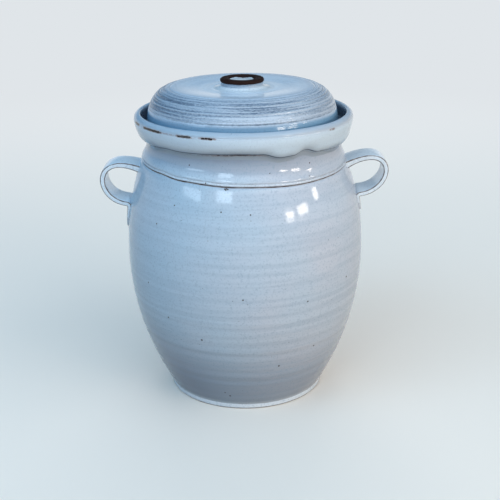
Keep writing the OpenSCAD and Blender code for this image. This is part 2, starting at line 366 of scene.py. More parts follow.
@dataclass(frozen=True)
class Glaze:
    """Tin-white stoneware glaze, dipped and fired over a clay full of iron.

    It gives the eye a deep, wet gloss, pale blue where it ran thick and greyer where it is thin, white where
    it pooled, broken by brown on edges, with the wheel's rings showing through and iron flecks melted in.
    Its colour also holds painted light and shade: it turns bluer to the left and greyer to the right, and
    some pieces lay painted light and shade with its pool, faint, iron and dry marks.
    """

    name: str
    thick: str
    thin: str
    # Colour of the pool mark: pooled glaze, and painted light where a piece lays it with that mark
    white: str
    line: str
    iron: str = "#3a2b27"
    rust: str = "#7d6a5e"
    bare: str = "#9a7d62"
    # Colour of the faint mark: thin glaze, and painted shade where a piece lays it with that mark
    through: str = "#8f8e97"
    roughness: float = 0.075
    ior: float = 1.52
    # How much rougher the dark rings and the bare clay are than the glaze
    streak_rough: float = 0.15
    bare_rough: float = 0.5
    # Sizes of the glaze's patterns in millimetres, the fine ones coarser than real ones so that they show;
    # the first is the half-width of painted light, the turn from thick on the left to thin on the right
    side_light_span: float = 95.0
    cloud: float = 70.0
    ring_gap: float = 4.0
    ring_length: float = 110.0
    grain: float = 1.6
    fleck_gap: float = 12.0
    fleck_r: float = 0.45
    pepper_gap: float = 4.2
    pepper_r: float = 0.34
    break_size: float = 5.0
    streak_gap: float = 2.2
    streak_length: float = 75.0
    dash_length: float = 2.4
    dash_height: float = 0.75
    ring_depth: float = 0.03
    grain_depth: float = 0.01
    streak_depth: float = 0.12
    # How strongly rings and grain colour the glaze, and whether the rings run in over a lid, from 0 to 1
    ring_show: float = 0.15
    grain_show: float = 0.28
    radial: float = 0.0
    # How much of the dark line colour veils a glaze that has dried out, between its dark rings
    veil: float = 0.12
    # Strengths between which rust and then iron break through an edge, and how much of each
    breaking: tuple[tuple[float, float, float], ...] = ((0.05, 0.5, 0.8), (0.45, 0.8, 1.0))
    # Places of single flecks in millimetres, each with its radius
    flecks: tuple[tuple[float, float, float, float], ...] = ()

    def build(self) -> bpy.types.Material:
        """Makes the glaze's material.

        Returns:
            The material, on Object coordinates and the piece's own marks.
        """
        material = bpy.data.materials.new(self.name)
        material.use_nodes = True
        tree = material.node_tree
        tree.nodes.clear()
        place = add_node(tree, "ShaderNodeTexCoord", {}, "Object")
        layer = self._layer(tree, place)
        rings = self._rings(tree, layer, self.ring_length, self.ring_gap)
        grain = add_node(tree, "ShaderNodeTexNoise",
                         {"Vector": place, "Scale": 1 / (self.grain * MM), "Detail": 2.0})
        streaks = self._streaks(tree, layer)
        colour = self._ground(tree, place, rings, grain)
        for strength, tint in ((streaks, self.line), (self._flecks(tree, place), self.iron)):
            colour = add_node(tree, "ShaderNodeMix", {0: strength, 6: colour, 7: linear(tint)}, 2,
                              data_type="RGBA")
        colour = self._break(tree, place, colour)
        naked = self._naked(tree, grain)
        earth = add_node(tree, "ShaderNodeMapRange", {0: grain, 1: 0.4, 2: 0.7, 3: 0.0, 4: 0.5})
        clay = add_node(tree, "ShaderNodeMix", {0: earth, 6: linear(self.bare), 7: linear(self.iron)}, 2,
                        data_type="RGBA")
        colour = add_node(tree, "ShaderNodeMix", {0: naked, 6: colour, 7: clay}, 2, data_type="RGBA")
        rough = add_node(tree, "ShaderNodeMapRange",
                         {0: grain, 1: 0.3, 2: 0.7, 3: self.roughness, 4: self.roughness + 0.04})
        for part, share in ((streaks, self.streak_rough), (naked, self.bare_rough)):
            rough = add_node(tree, "ShaderNodeMath", {0: part, 1: share, 2: rough}, operation="MULTIPLY_ADD")
        height: Any = 0.0
        depths = ((rings, self.ring_depth), (grain, self.grain_depth), (streaks, -self.streak_depth))
        for part, depth in depths:
            height = add_node(tree, "ShaderNodeMath", {0: part, 1: depth, 2: height},
                              operation="MULTIPLY_ADD")
        normal = add_node(tree, "ShaderNodeBump", {"Height": height, "Distance": MM, "Strength": 1.0})
        shine = add_node(tree, "ShaderNodeMapRange", {0: naked, 1: 0.0, 2: 1.0, 3: 0.5, 4: 0.12})
        shader = add_node(tree, "ShaderNodeBsdfPrincipled",
                          {"Base Color": colour, "Roughness": rough, "Normal": normal, "IOR": self.ior,
                           "Specular IOR Level": shine})
        add_node(tree, "ShaderNodeOutputMaterial", {"Surface": shader})
        return material

    def _layer(self, tree: bpy.types.NodeTree, place: bpy.types.NodeSocket) -> bpy.types.NodeSocket:
        """Coordinates whose third one runs across the wheel's rings: up a wall, or in over a lid.

        Args:
            tree: The material's node tree.
            place: Object coordinates.

        Returns:
            The coordinates in metres.
        """
        x = add_node(tree, "ShaderNodeSeparateXYZ", {0: place}, "X")
        y, z = x.node.outputs["Y"], x.node.outputs["Z"]
        flat = add_node(tree, "ShaderNodeCombineXYZ", {0: x, 1: y})
        reach = add_node(tree, "ShaderNodeVectorMath", {0: flat}, "Value", operation="LENGTH")
        across = add_node(tree, "ShaderNodeMath", {0: reach, 1: -self.radial, 2: z}, operation="MULTIPLY_ADD")
        return add_node(tree, "ShaderNodeCombineXYZ", {0: x, 1: y, 2: across})

    @staticmethod
    def _rings(tree: bpy.types.NodeTree, layer: bpy.types.NodeSocket, around: float,
               gap: float) -> bpy.types.NodeSocket:
        """Uneven rings left by the wheel.

        Args:
            tree: The material's node tree.
            layer: Coordinates across the wheel's rings.
            around: How long a ring keeps its look, in millimetres.
            gap: Distance from ring to ring in millimetres.

        Returns:
            The rings' height, from 0 to 1.
        """
        scale = (1 / (around * MM), 1 / (around * MM), 1 / (gap * MM))
        flat = add_node(tree, "ShaderNodeMapping", {"Vector": layer, "Scale": scale})
        return add_node(tree, "ShaderNodeTexNoise", {"Vector": flat, "Scale": 1.0, "Detail": 3.0})

    def _streaks(self, tree: bpy.types.NodeTree, layer: bpy.types.NodeSocket) -> bpy.types.NodeSocket:
        """Dark rings of short dashes where a thin glaze has dried into the turning marks; on the knob's waist
        the same mark lays painted shade.

        Args:
            tree: The material's node tree.
            layer: Coordinates across the wheel's rings.

        Returns:
            Strength of the dark rings, from 0 to 1.
        """
        dry = add_node(tree, "ShaderNodeAttribute", {}, "Fac", attribute_name=Mark.DRY.value)
        lines = self._rings(tree, layer, self.streak_length, self.streak_gap)
        drawn = add_node(tree, "ShaderNodeMapRange", {0: lines, 1: 0.4, 2: 0.62, 3: 0.12, 4: 0.85},
                         interpolation_type="SMOOTHSTEP")
        noise = self._rings(tree, layer, self.dash_length, self.dash_height)
        dashes = add_node(tree, "ShaderNodeMapRange", {0: noise, 1: 0.4, 2: 0.64, 3: 0.4, 4: 1.2},
                          interpolation_type="SMOOTHSTEP")
        pitted = add_node(tree, "ShaderNodeMath", {0: drawn, 1: dashes}, operation="MULTIPLY")
        veiled = add_node(tree, "ShaderNodeMath", {0: pitted, 1: self.veil}, operation="ADD", use_clamp=True)
        return add_node(tree, "ShaderNodeMath", {0: veiled, 1: dry}, operation="MULTIPLY")

    def _ground(self, tree: bpy.types.NodeTree, place: bpy.types.NodeSocket, rings: bpy.types.NodeSocket,
                grain: bpy.types.NodeSocket) -> bpy.types.NodeSocket:
        """The glaze's colour before anything breaks through it, painted light and shade included.

        Args:
            tree: The material's node tree.
            place: Object coordinates.
            rings: Height of the throwing rings.
            grain: The glaze's fine mottling.

        Returns:
            The colour.
        """
        cloud = add_node(tree, "ShaderNodeTexNoise",
                         {"Vector": place, "Scale": 1 / (self.cloud * MM), "Detail": 3.0})
        drift = add_node(tree, "ShaderNodeMapRange", {0: cloud, 1: 0.3, 2: 0.7, 3: -0.3, 4: 0.3})
        # Painted light: the colour turns from thick on the left to thin on the right, bluer where the cool
        # light falls and greyer where the warm light falls
        x = add_node(tree, "ShaderNodeSeparateXYZ", {0: place}, "X")
        side = add_node(tree, "ShaderNodeMapRange",
                        {0: x, 1: -self.side_light_span * MM, 2: self.side_light_span * MM, 3: 0.0, 4: 1.0})
        share = add_node(tree, "ShaderNodeMath", {0: side, 1: drift}, operation="ADD", use_clamp=True)
        pool = add_node(tree, "ShaderNodeAttribute", {}, "Fac", attribute_name=Mark.POOL.value)
        faint = add_node(tree, "ShaderNodeAttribute", {}, "Fac", attribute_name=Mark.FAINT.value)
        valley = add_node(tree, "ShaderNodeMapRange", {0: rings, 1: 0.6, 2: 0.36, 3: 0.0, 4: self.ring_show},
                          interpolation_type="SMOOTHSTEP")
        mottle = add_node(tree, "ShaderNodeMapRange",
                          {0: grain, 1: 0.48, 2: 0.74, 3: 0.0, 4: self.grain_show},
                          interpolation_type="SMOOTHSTEP")
        tints = ((share, self.thin), (pool, self.white), (faint, self.through), (valley, self.line),
                 (mottle, self.line))
        colour: Any = linear(self.thick)
        for strength, tint in tints:
            colour = add_node(tree, "ShaderNodeMix", {0: strength, 6: colour, 7: linear(tint)}, 2,
                              data_type="RGBA")
        return colour

    def _flecks(self, tree: bpy.types.NodeTree, place: bpy.types.NodeSocket) -> bpy.types.NodeSocket:
        """Iron flecks: scattered ones all over, a fine pepper, and those set at known places.

        Args:
            tree: The material's node tree.
            place: Object coordinates.

        Returns:
            Strength of the flecks, from 0 to 1.
        """
        spots = []
        scattered = ((self.fleck_gap, self.fleck_r, 0.6), (self.pepper_gap, self.pepper_r, 0.28))
        for gap, radius, show in scattered:
            near = add_node(tree, "ShaderNodeTexVoronoi", {"Vector": place, "Scale": 1 / (gap * MM)},
                            "Distance")
            spots.append((near, radius / gap, show))
        for x, y, z, radius in self.flecks:
            middle = (x * MM, y * MM, z * MM)
            away = add_node(tree, "ShaderNodeVectorMath", {0: place, 1: middle}, "Value",
                            operation="DISTANCE")
            spots.append((away, radius * MM, 0.9))
        total: Any = 0.0
        for distance, radius, show in spots:
            strength = add_node(tree, "ShaderNodeMapRange",
                                {0: distance, 1: radius * 1.25, 2: radius * 0.6, 3: 0.0, 4: show},
                                interpolation_type="SMOOTHSTEP")
            total = add_node(tree, "ShaderNodeMath", {0: total, 1: strength}, operation="MAXIMUM")
        return total

    def _break(self, tree: bpy.types.NodeTree, place: bpy.types.NodeSocket,
               colour: bpy.types.NodeSocket) -> bpy.types.NodeSocket:
        """Lets the iron through in an uneven line where the glaze breaks over an edge, and lays the painted
        shade that the iron mark carries under the moat ring.

        Args:
            tree: The material's node tree.
            place: Object coordinates.
            colour: The glaze's colour so far.

        Returns:
            The colour with rust and iron in it.
        """
        iron = add_node(tree, "ShaderNodeAttribute", {}, "Fac", attribute_name=Mark.IRON.value)
        noise = add_node(tree, "ShaderNodeTexNoise",
                         {"Vector": place, "Scale": 1 / (self.break_size * MM), "Detail": 3.0})
        patchy = add_node(tree, "ShaderNodeMapRange", {0: noise, 1: 0.3, 2: 0.7, 3: 0.6, 4: 1.25})
        through = add_node(tree, "ShaderNodeMath", {0: iron, 1: patchy}, operation="MULTIPLY")
        for (low, high, show), tint in zip(self.breaking, (self.rust, self.iron)):
            share = add_node(tree, "ShaderNodeMapRange", {0: through, 1: low, 2: high, 3: 0.0, 4: show},
                             interpolation_type="SMOOTHSTEP")
            colour = add_node(tree, "ShaderNodeMix", {0: share, 6: colour, 7: linear(tint)}, 2,
                              data_type="RGBA")
        return colour

    @staticmethod
    def _naked(tree: bpy.types.NodeTree, grain: bpy.types.NodeSocket) -> bpy.types.NodeSocket:
        """Where no glaze covers the clay, with a ragged edge.

        Args:
            tree: The material's node tree.
            grain: The glaze's fine mottling.

        Returns:
            Strength of the bare clay, from 0 to 1.
        """
        bare = add_node(tree, "ShaderNodeAttribute", {}, "Fac", attribute_name=Mark.BARE.value)
        fray = add_node(tree, "ShaderNodeMapRange", {0: grain, 1: 0.3, 2: 0.7, 3: -0.2, 4: 0.2})
        ragged = add_node(tree, "ShaderNodeMath", {0: bare, 1: fray}, operation="ADD")
        return add_node(tree, "ShaderNodeMapRange", {0: ragged, 1: 0.4, 2: 0.6, 3: 0.0, 4: 1.0},
                        interpolation_type="SMOOTHSTEP")


@dataclass(frozen=True)
class BareClay:
    """Unglazed stoneware, fired to a matt biscuit.

    It gives the eye a dry, sandy surface with grog and iron grains and no gloss.
    """

    name: str
    body: str
    toasted: str
    grog: str
    roughness: float = 0.85
    # Sizes of the grit, of the grog's grains and of the fire's colouring in millimetres
    grit: float = 1.4
    grit_depth: float = 0.35
    grain: float = 3.2
    flash: float = 40.0

    def build(self) -> bpy.types.Material:
        """Makes the clay's material.

        Returns:
            The material, on Object coordinates.
        """
        material = bpy.data.materials.new(self.name)
        material.use_nodes = True
        tree = material.node_tree
        tree.nodes.clear()
        place = add_node(tree, "ShaderNodeTexCoord", {}, "Object")
        flash = add_node(tree, "ShaderNodeTexNoise",
                         {"Vector": place, "Scale": 1 / (self.flash * MM), "Detail": 4.0})
        grit = add_node(tree, "ShaderNodeTexNoise",
                        {"Vector": place, "Scale": 1 / (self.grit * MM), "Detail": 3.0})
        cells = add_node(tree, "ShaderNodeTexVoronoi", {"Vector": place, "Scale": 1 / (self.grain * MM)},
                         "Distance")
        warm = add_node(tree, "ShaderNodeMapRange", {0: flash, 1: 0.35, 2: 0.65, 3: 0.0, 4: 0.8})
        colour = add_node(tree, "ShaderNodeMix", {0: warm, 6: linear(self.body), 7: linear(self.toasted)}, 2,
                          data_type="RGBA")
        speck = add_node(tree, "ShaderNodeMapRange", {0: cells, 1: 0.22, 2: 0.12, 3: 0.0, 4: 0.7})
        colour = add_node(tree, "ShaderNodeMix", {0: speck, 6: colour, 7: linear(self.grog)}, 2,
                          data_type="RGBA")
        normal = add_node(tree, "ShaderNodeBump",
                          {"Height": grit, "Distance": self.grit_depth * MM, "Strength": 0.7})
        shader = add_node(tree, "ShaderNodeBsdfPrincipled",
                          {"Base Color": colour, "Roughness": self.roughness, "Normal": normal})
        add_node(tree, "ShaderNodeOutputMaterial", {"Surface": shader})
        return material


@dataclass
class Jar:
    """The thrown jar: foot, belly, turned groove and bead, neck, mouth collar and inside."""

    foot_r: float = 73.5
    foot_h: float = 5.0
    hollow_r: float = 58.5
    hollow_d: float = 1.5
    belly_r: float = 110.0
    belly_z: float = 138.0
    lower_fullness: float = 2.05
    upper_fullness: float = 2.35
    shoulder_r: float = 94.0
    shoulder_z: float = 219.0
    neck_r: float = 89.0
    ledge_h: float = 4.4
    ledge_slope: float = 0.16
    flare_slope: float = 0.52
    flare_round: float = 2.2
    seat_z: float = 245.5
    wall: float = 7.0
    floor_t: float = 9.0
    floor_fillet: float = 10.0
    mouth_r: float = 68.0
    collar_r: float = 75.0
    collar_z: float = 270.0
    # Height over the shoulder and stand-out of the points of the turned groove and bead
    turned: tuple[tuple[float, float], ...] = (
        (-1.7, -0.05), (-1.2, -0.3), (-0.7, -0.7), (-0.3, -1.2), (0.1, -1.4), (0.5, -0.9), (0.8, -0.1),
        (1.2, 0.2), (1.7, 0.32), (2.2, 0.2), (2.6, -0.1), (2.9, -0.4), (3.3, -0.15), (4.0, 0.0), (5.2, 0.0))
    # How far the turned groove wanders up and down round the pot
    groove_wander: Stops = ((-180, 4.6), (-141, 3.9), (-125, 2.0), (-92, 0.2), (-59, -1.1), (-37, -0.7),
                            (0, 0.6), (60, 2.2), (120, 3.4))
    # Depth, spacing and phase of the thrower's finger marks
    finger_marks: tuple[tuple[float, float, float], ...] = (
        (0.105, 9.7, 0.4), (0.07, 14.3, 2.0), (0.042, 6.1, 0.0))
    # Angle, height and radius of the larger iron flecks on the front
    front_flecks: tuple[tuple[float, float, float], ...] = (
        (-121, 235, 0.7), (-86, 244, 0.6), (-51, 234, 0.7), (-76, 230, 0.5), (-110, 222, 0.8),
        (-99.7, 218.2, 0.9), (-98.9, 218.6, 0.9), (-98.2, 218.0, 0.8), (-99.2, 217.4, 0.7), (-113, 216, 0.7),
        (-126, 201, 0.7), (-53, 224, 0.6), (-101, 200, 0.7), (-87, 198, 0.7), (-136, 182, 0.7),
        (-142, 125, 0.8), (-91, 124, 0.8), (-60, 116, 0.8), (-34, 126, 0.8), (-130, 97, 0.9),
        (-112, 81, 1.0), (-52, 66, 0.9), (-72, 52, 1.0), (-104, 20, 0.7), (-101, 16, 0.9))

    def outside(self, z: float) -> float:
        """The jar's outline, without groove, bead or finger marks.

        Args:
            z: A height in millimetres.

        Returns:
            The radius there in millimetres.
        """
        if z < self.belly_z:
            share = (self.belly_z - z) / (self.belly_z - self.foot_h)
            return self.belly_r - (self.belly_r - self.foot_r) * max(0.0, share) ** self.lower_fullness
        if z < self.shoulder_z:
            share = (z - self.belly_z) / (self.shoulder_z - self.belly_z)
            return self.belly_r - (self.belly_r - self.shoulder_r) * share ** self.upper_fullness
        up = z - self.shoulder_z
        ledge = self.shoulder_r - self.ledge_slope * min(up, self.ledge_h)
        over = ledge - self.flare_slope * max(0.0, up - self.ledge_h) - self.neck_r
        return self.neck_r + (over + math.hypot(over, self.flare_round)) / 2

    def ripple(self, z: float) -> float:
        """The thrower's finger marks, strongest low on the belly.

        Args:
            z: A height in millimetres.

        Returns:
            How far they stand out there in millimetres.
        """
        waves = sum(depth * math.sin(math.tau * z / gap + phase) for depth, gap, phase in self.finger_marks)
        return waves * (0.35 + 0.9 * ease((z - 50) / 95)) * rise(self.foot_h, self.foot_h + 9, z)

    def profile(self) -> Profile:
        """The jar's whole section, from the middle of the foot up the outside and down the inside.

        Returns:
            Radius and height of each point in millimetres.
        """
        hollow_r, hollow_z, foot_r = self.hollow_r, self.hollow_d, self.foot_r
        foot = [(0, hollow_z), (30, hollow_z), (hollow_r - 2, hollow_z), (hollow_r, hollow_z - 0.2),
                (hollow_r + 1.2, 0.15), (hollow_r + 2, 0.0), (foot_r - 6, 0.0), (foot_r - 1.5, 0.0),
                (foot_r - 0.7, 0.2), (foot_r, 1.0), (foot_r, 2.8), (foot_r - 0.05, 4.4), (foot_r - 0.1, 5.0),
                (foot_r + 0.15, 5.5)]
        belly = [(self.outside(z) + self.ripple(z), z) for z in span(6.5, self.shoulder_z - 2, 88)]
        groove = [(self.outside(self.shoulder_z + up) + out, self.shoulder_z + up) for up, out in self.turned]
        neck = [(self.outside(z), z) for z in span(self.shoulder_z + 6.2, self.seat_z - 1.2, 20)]
        neck_r, collar_r, seat_z = self.neck_r, self.collar_r, self.seat_z
        seat = [(neck_r, seat_z - 0.5), (neck_r - 0.4, seat_z), (neck_r - 2, seat_z), (collar_r + 2, seat_z),
                (collar_r + 0.2, seat_z + 0.1), (collar_r, seat_z + 0.6)]
        lip_r = (self.collar_r - self.mouth_r) / 2
        collar = [(self.collar_r, z) for z in span(self.seat_z + 4, self.collar_z - lip_r - 2, 5)]
        collar += [(self.mouth_r + lip_r + lip_r * math.cos(t), self.collar_z - lip_r + lip_r * math.sin(t))
                   for t in span(0, math.pi, 12)]
        narrowing = self.shoulder_r - self.wall - self.mouth_r
        throat = [(self.mouth_r + narrowing * ease((z - self.shoulder_z) / (seat_z - self.shoulder_z)), z)
                  for z in span(seat_z + 6, self.shoulder_z, 12)]
        bend_z = self.floor_t + self.floor_fillet
        inside = [(self.outside(z) - self.wall - 1.5 * self.ripple(z), z)
                  for z in span(self.shoulder_z - 5, bend_z, 40)]
        bend_r = self.outside(bend_z) - self.wall - self.floor_fillet
        floor = [(bend_r + self.floor_fillet * math.cos(t), bend_z - self.floor_fillet * math.sin(t))
                 for t in span(0.2, math.pi / 2, 5)]
        floor += [(bend_r * 0.6, self.floor_t), (bend_r * 0.25, self.floor_t), (0, self.floor_t)]
        return foot + belly + groove + neck + seat + collar + throat + inside + floor

    def fleck_places(self) -> tuple[tuple[float, float, float, float], ...]:
        """Places of the larger flecks on the jar's outside.

        Returns:
            Three coordinates and a radius for each fleck, in millimetres.
        """
        places = []
        for angle, z, radius in self.front_flecks:
            turn, r = math.radians(angle), self.outside(z)
            places.append((r * math.cos(turn), r * math.sin(turn), z, radius))
        return tuple(places)

    def is_outside(self, r: float, z: float) -> bool:
        """Whether a point lies on the outside of the jar below the moat ring."""
        return z < self.seat_z + 0.2 and r > self.outside(z) - self.wall / 2

    def iron(self, p: Vector) -> float:
        """Strength of the iron: groove, fine line, foot's edge, collar's lip and a painted shade under the
        moat ring.

        Args:
            p: A point of the jar as thrown.

        Returns:
            The strength, from 0 to 1.
        """
        r, angle, z = polar(p)
        if not self.is_outside(r, z):
            return 0.75 * hump(z, self.collar_z + 0.4, 0.9) if z > self.seat_z else 0.0
        groove = 0.85 * hump(z, self.shoulder_z, 0.55)
        line = 0.26 * hump(z, self.shoulder_z + 2.9, 0.7)
        edge = 0.8 * hump(z, 0.2, 0.7) + 0.22 * hump(z, 5.2, 0.5)
        # Painted shade under the moat ring at the front, laid as iron
        under = 0.13 * hump(angle, -104, 34) * rise(self.shoulder_z + 16, self.shoulder_z + 22, z)
        return groove + line + edge + under

    def faint(self, p: Vector) -> float:
        """Painted shade, laid as thin glaze: under the moat ring, less down the neck and on the lit front
        right, and low on the belly, more on the left.

        Args:
            p: A point of the jar as thrown.

        Returns:
            The strength, from 0 to 1.
        """
        r, angle, z = polar(p)
        if not self.is_outside(r, z):
            return 0.0
        start, middle, end = self.shoulder_z + 6, self.shoulder_z + 15, self.shoulder_z + 26
        # Painted shade under the rim's overhang, lighter on the front right where the light falls
        neck = 0.42 * rise(start, middle, z) + 0.38 * rise(middle, end, z)
        neck *= 1 - 0.4 * hump(angle, -35, 35)
        # Painted shade low on the belly near the floor, darker and higher up on the shaded left
        left = hump(angle, -150, 42)
        low = rise(self.foot_h + 0.4, self.foot_h + 4, z) * (1 - rise(18, 86 + 30 * left, z))
        return neck + (0.5 + 0.36 * left) * low

    def pool(self, p: Vector) -> float:
        """Where the glaze is thick and white: the foot's band, whitened further as painted light, and faintly
        the bead.

        Args:
            p: A point of the jar as thrown.

        Returns:
            The strength, from 0 to 1.
        """
        r, _, z = polar(p)
        if not self.is_outside(r, z):
            return 0.0
        # The foot's band: thick glaze, made whiter still as painted light where the upright band catches it
        band = rise(0.6, 1.4, z) * (1 - rise(self.foot_h - 0.4, self.foot_h + 0.4, z))
        return 0.95 * band + 0.45 * hump(z, self.shoulder_z + 1.7, 0.8)

    def build(self, glaze: bpy.types.Material) -> None:
        """Throws the jar, sets its groove askew as a hand does, and glazes it.

        Args:
            glaze: The white glaze.
        """
        piece = Bench.throw("jar_thrown", self.profile())
        Bench.refine(piece)
        Bench.mark(piece, Mark.IRON, self.iron)
        Bench.mark(piece, Mark.POOL, self.pool)
        Bench.mark(piece, Mark.FAINT, self.faint)
        Bench.mark(piece, Mark.BARE, lambda p: 1 - rise(0.1, 0.7, p.z / MM))
        Bench.press(piece, self._wander, Way.UP)
        Bench.unevenness(piece, size=75, depth=0.7, hold=self._hold)
        Bench.hand_over(piece, Body.CROCK, "crock_jar", Slot.WHITE_GLAZE, glaze)

    def _wander(self, p: Vector) -> float:
        """How far the groove and what lies near it is lifted.

        Args:
            p: A point of the jar as thrown.

        Returns:
            The lift in millimetres.
        """
        r, angle, z = polar(p)
        if not self.is_outside(r, z):
            return 0.0
        near = rise(self.shoulder_z - 31, self.shoulder_z - 3, z)
        near *= 1 - rise(self.shoulder_z + 6, self.shoulder_z + 22, z)
        return round_the_pot(self.groove_wander, angle) * near

    def _hold(self, p: Vector) -> float:
        """How uneven the jar may be: not at all at its foot, collar and the seats of ring and stones.

        Args:
            p: A point of the jar.

        Returns:
            The share of the unevenness, from 0 to 1.
        """
        r, _, z = polar(p)
        start = 6 if self.is_outside(r, z) else 66
        return rise(start, start + 34, z) * (1 - rise(self.shoulder_z + 6, self.shoulder_z + 21, z))


@dataclass
class MoatRing:
    """The thrown ring round the mouth: its floor, rolled outer wall, crisp edge and lip."""

    bore_r: float = 75.1
    neck_r: float = 89.0
    rim_r: float = 99.5
    rim_in_r: float = 93.5
    seat_z: float = 245.5
    floor_z: float = 251.5
    edge_z: float = 261.5
    lip_h: float = 5.0
    lip_round: float = 1.5
    fillet: float = 5.0
    # Stand-out from the neck and height over the seat of the slip that runs out under the ring
    slip: tuple[tuple[float, float], ...] = (
        (-0.5, -1.5), (-0.4, -4.4), (-0.1, -4.9), (0.2, -4.7), (0.35, -3.6), (0.6, -2.4), (1.05, -1.3),
        (1.7, -0.4), (2.5, 0.3))
    # How far the wet glaze and clay under the rim draw up, or hang down if negative, round the pot
    drips: Stops = ((-180, -1.8), (-150, -1.4), (-142, -0.7), (-135, 0.0), (-124, -0.4), (-114, -0.1),
                    (-103, 0.6), (-92, 1.2), (-81, 0.5), (-70, -3.2), (-64, -2.6), (-56, 0.7), (-47, -3.0),
                    (-38, -3.9), (-26, -5.0), (-8, -3.4), (14, -0.8), (30, -2.6), (48, 0.4), (66, -1.6),
                    (88, 0.6), (104, -2.8), (118, -0.4), (140, -2.2), (160, -0.6))
    # Where the glaze has chipped or drawn back from the crisp edge: angles from and to, and strength
    chips: tuple[tuple[float, float, float], ...] = (
        (-165, -156, 1.0), (-151, -134, 1.0), (-125, -115, 0.95), (-112, -103, 0.85), (-43, -37, 0.6),
        (35, 47, 0.8), (96, 104, 0.6))

    def profile(self) -> Profile:
        """The ring's closed section, from its bore along the seat, up the outside and back down the moat.

        Returns:
            Radius and height of each point in millimetres, the first one repeated at the end.
        """
        bore_r, neck_r, rim_r, seat_z, edge_z = self.bore_r, self.neck_r, self.rim_r, self.seat_z, self.edge_z
        seat = [(bore_r, seat_z + 0.4), (bore_r + 0.4, seat_z), (bore_r + 3, seat_z), (neck_r - 3, seat_z),
                (neck_r - 0.8, seat_z)]
        seat += [(neck_r + out, seat_z + up) for out, up in self.slip]
        wall = [(neck_r + (rim_r - neck_r) * math.cos(t), edge_z - (edge_z - seat_z) * math.sin(t))
                for t in span(math.radians(70), math.radians(4), 18)]
        edge = [(rim_r, edge_z - 0.5), (rim_r, edge_z + 0.1), (rim_r - 0.35, edge_z + 0.6)]
        crest_r, crest_z = self.rim_in_r + self.lip_round, edge_z + self.lip_h
        lip = [(crest_r + (rim_r - crest_r) * math.cos(t), edge_z + self.lip_h * math.sin(t))
               for t in span(math.radians(20), math.radians(90), 12)]
        lip += [(crest_r - self.lip_round * math.sin(t), crest_z - self.lip_round * (1 - math.cos(t)))
                for t in span(math.radians(15), math.radians(90), 5)]
        inner_r, floor_z, bend = self.rim_in_r, self.floor_z, self.fillet
        inner = [(inner_r, z) for z in span(crest_z - 3, floor_z + bend + 0.5, 4)]
        inner += [(inner_r - bend * (1 - math.cos(t)), floor_z + bend * (1 - math.sin(t)))
                  for t in span(0.15, math.pi / 2, 7)]
        floor = [(r, floor_z) for r in span(inner_r - bend - 2, bore_r + 0.6, 4)]
        floor += [(bore_r, floor_z - 0.4)]
        closed = seat + wall + edge + lip + inner + floor
        return [*closed, closed[0]]

    def in_moat(self, r: float, z: float) -> bool:
        """Whether a point lies on the moat's side of the ring."""
        return r < self.rim_in_r + 0.3 and z > self.seat_z + 1

    def iron(self, p: Vector) -> float:
        """Strength of the iron: the crisp edge, most of all where it has chipped, and a painted crease shadow
        in front with painted shade round it.

        Args:
            p: A point of the ring as thrown.

        Returns:
            The strength, from 0 to 1.
        """
        r, angle, z = polar(p)
        if self.in_moat(r, z):
            return 0.0
        edge = hump(z, self.edge_z + 0.3, 1.15) * rise(self.rim_r - 2.5, self.rim_r - 0.5, r)
        chipped = 0.18 + 0.2 * hump(angle, -130, 26)
        for start, end, strength in self.chips:
            inside = rise(start - 1, start + 2, angle) * (1 - rise(end - 2, end + 1, angle))
            chipped = max(chipped, strength * inside)
        # Painted shadow in the crease under the ring at the front, and painted shade round it, both laid as
        # iron
        crease = 0.66 * hump(angle, -92, 13) * hump(z, self.seat_z + 0.1, 0.6)
        shade = 0.3 * hump(angle, -102, 30) * hump(z, self.seat_z - 0.4, 1.9)
        return edge * chipped + (crease + shade) * rise(self.neck_r - 0.4, self.neck_r, r)

    def faint(self, p: Vector) -> float:
        """Where the glaze is thin on the lip, and painted shade laid the same way: the moat, low on the outer
        wall and on the slip below it.

        Args:
            p: A point of the ring as thrown.

        Returns:
            The strength, from 0 to 1.
        """
        r, _, z = polar(p)
        lip = 0.2 * rise(self.edge_z + 0.5, self.edge_z + 2.5, z)
        if self.in_moat(r, z):
            # Painted shade down in the moat
            return max(lip, 0.95 * (1 - rise(self.edge_z, self.edge_z + 4.5, z)))
        # Painted shade low on the outer wall and on the slip below it
        low = 0.2 * (1 - rise(self.seat_z + 1, self.seat_z + 9, z))
        return max(lip, low + 0.22 * (1 - rise(self.seat_z - 3, self.seat_z + 2, z)))

    def pool(self, p: Vector) -> float:
        """Where the glaze hangs thick and white: the outer wall.

        Args:
            p: A point of the ring as thrown.

        Returns:
            The strength, from 0 to 1.
        """
        r, _, z = polar(p)
        if r < self.rim_in_r and z > self.seat_z + 1:
            return 0.0
        wall = rise(self.seat_z - 2.5, self.seat_z + 3, z)
        return 0.9 * wall * (1 - rise(self.edge_z - 1.5, self.edge_z + 1.0, z))

    def build(self, glaze: bpy.types.Material) -> None:
        """Throws the ring, lets its lower edge hang in drips, and glazes it.

        Args:
            glaze: The rim's glaze.
        """
        piece = Bench.throw("moat_ring_thrown", self.profile(), steps=144)
        Bench.refine(piece)
        Bench.mark(piece, Mark.IRON, self.iron)
        Bench.mark(piece, Mark.POOL, self.pool)
        Bench.mark(piece, Mark.FAINT, self.faint)
        Bench.press(piece, self._hang, Way.UP)
        Bench.press(piece, self._swell, Way.OUT)
        Bench.unevenness(piece, size=45, depth=0.5, hold=self._hold)
        Bench.hand_over(piece, Body.CROCK, "moat_ring", Slot.WHITE_GLAZE, glaze)

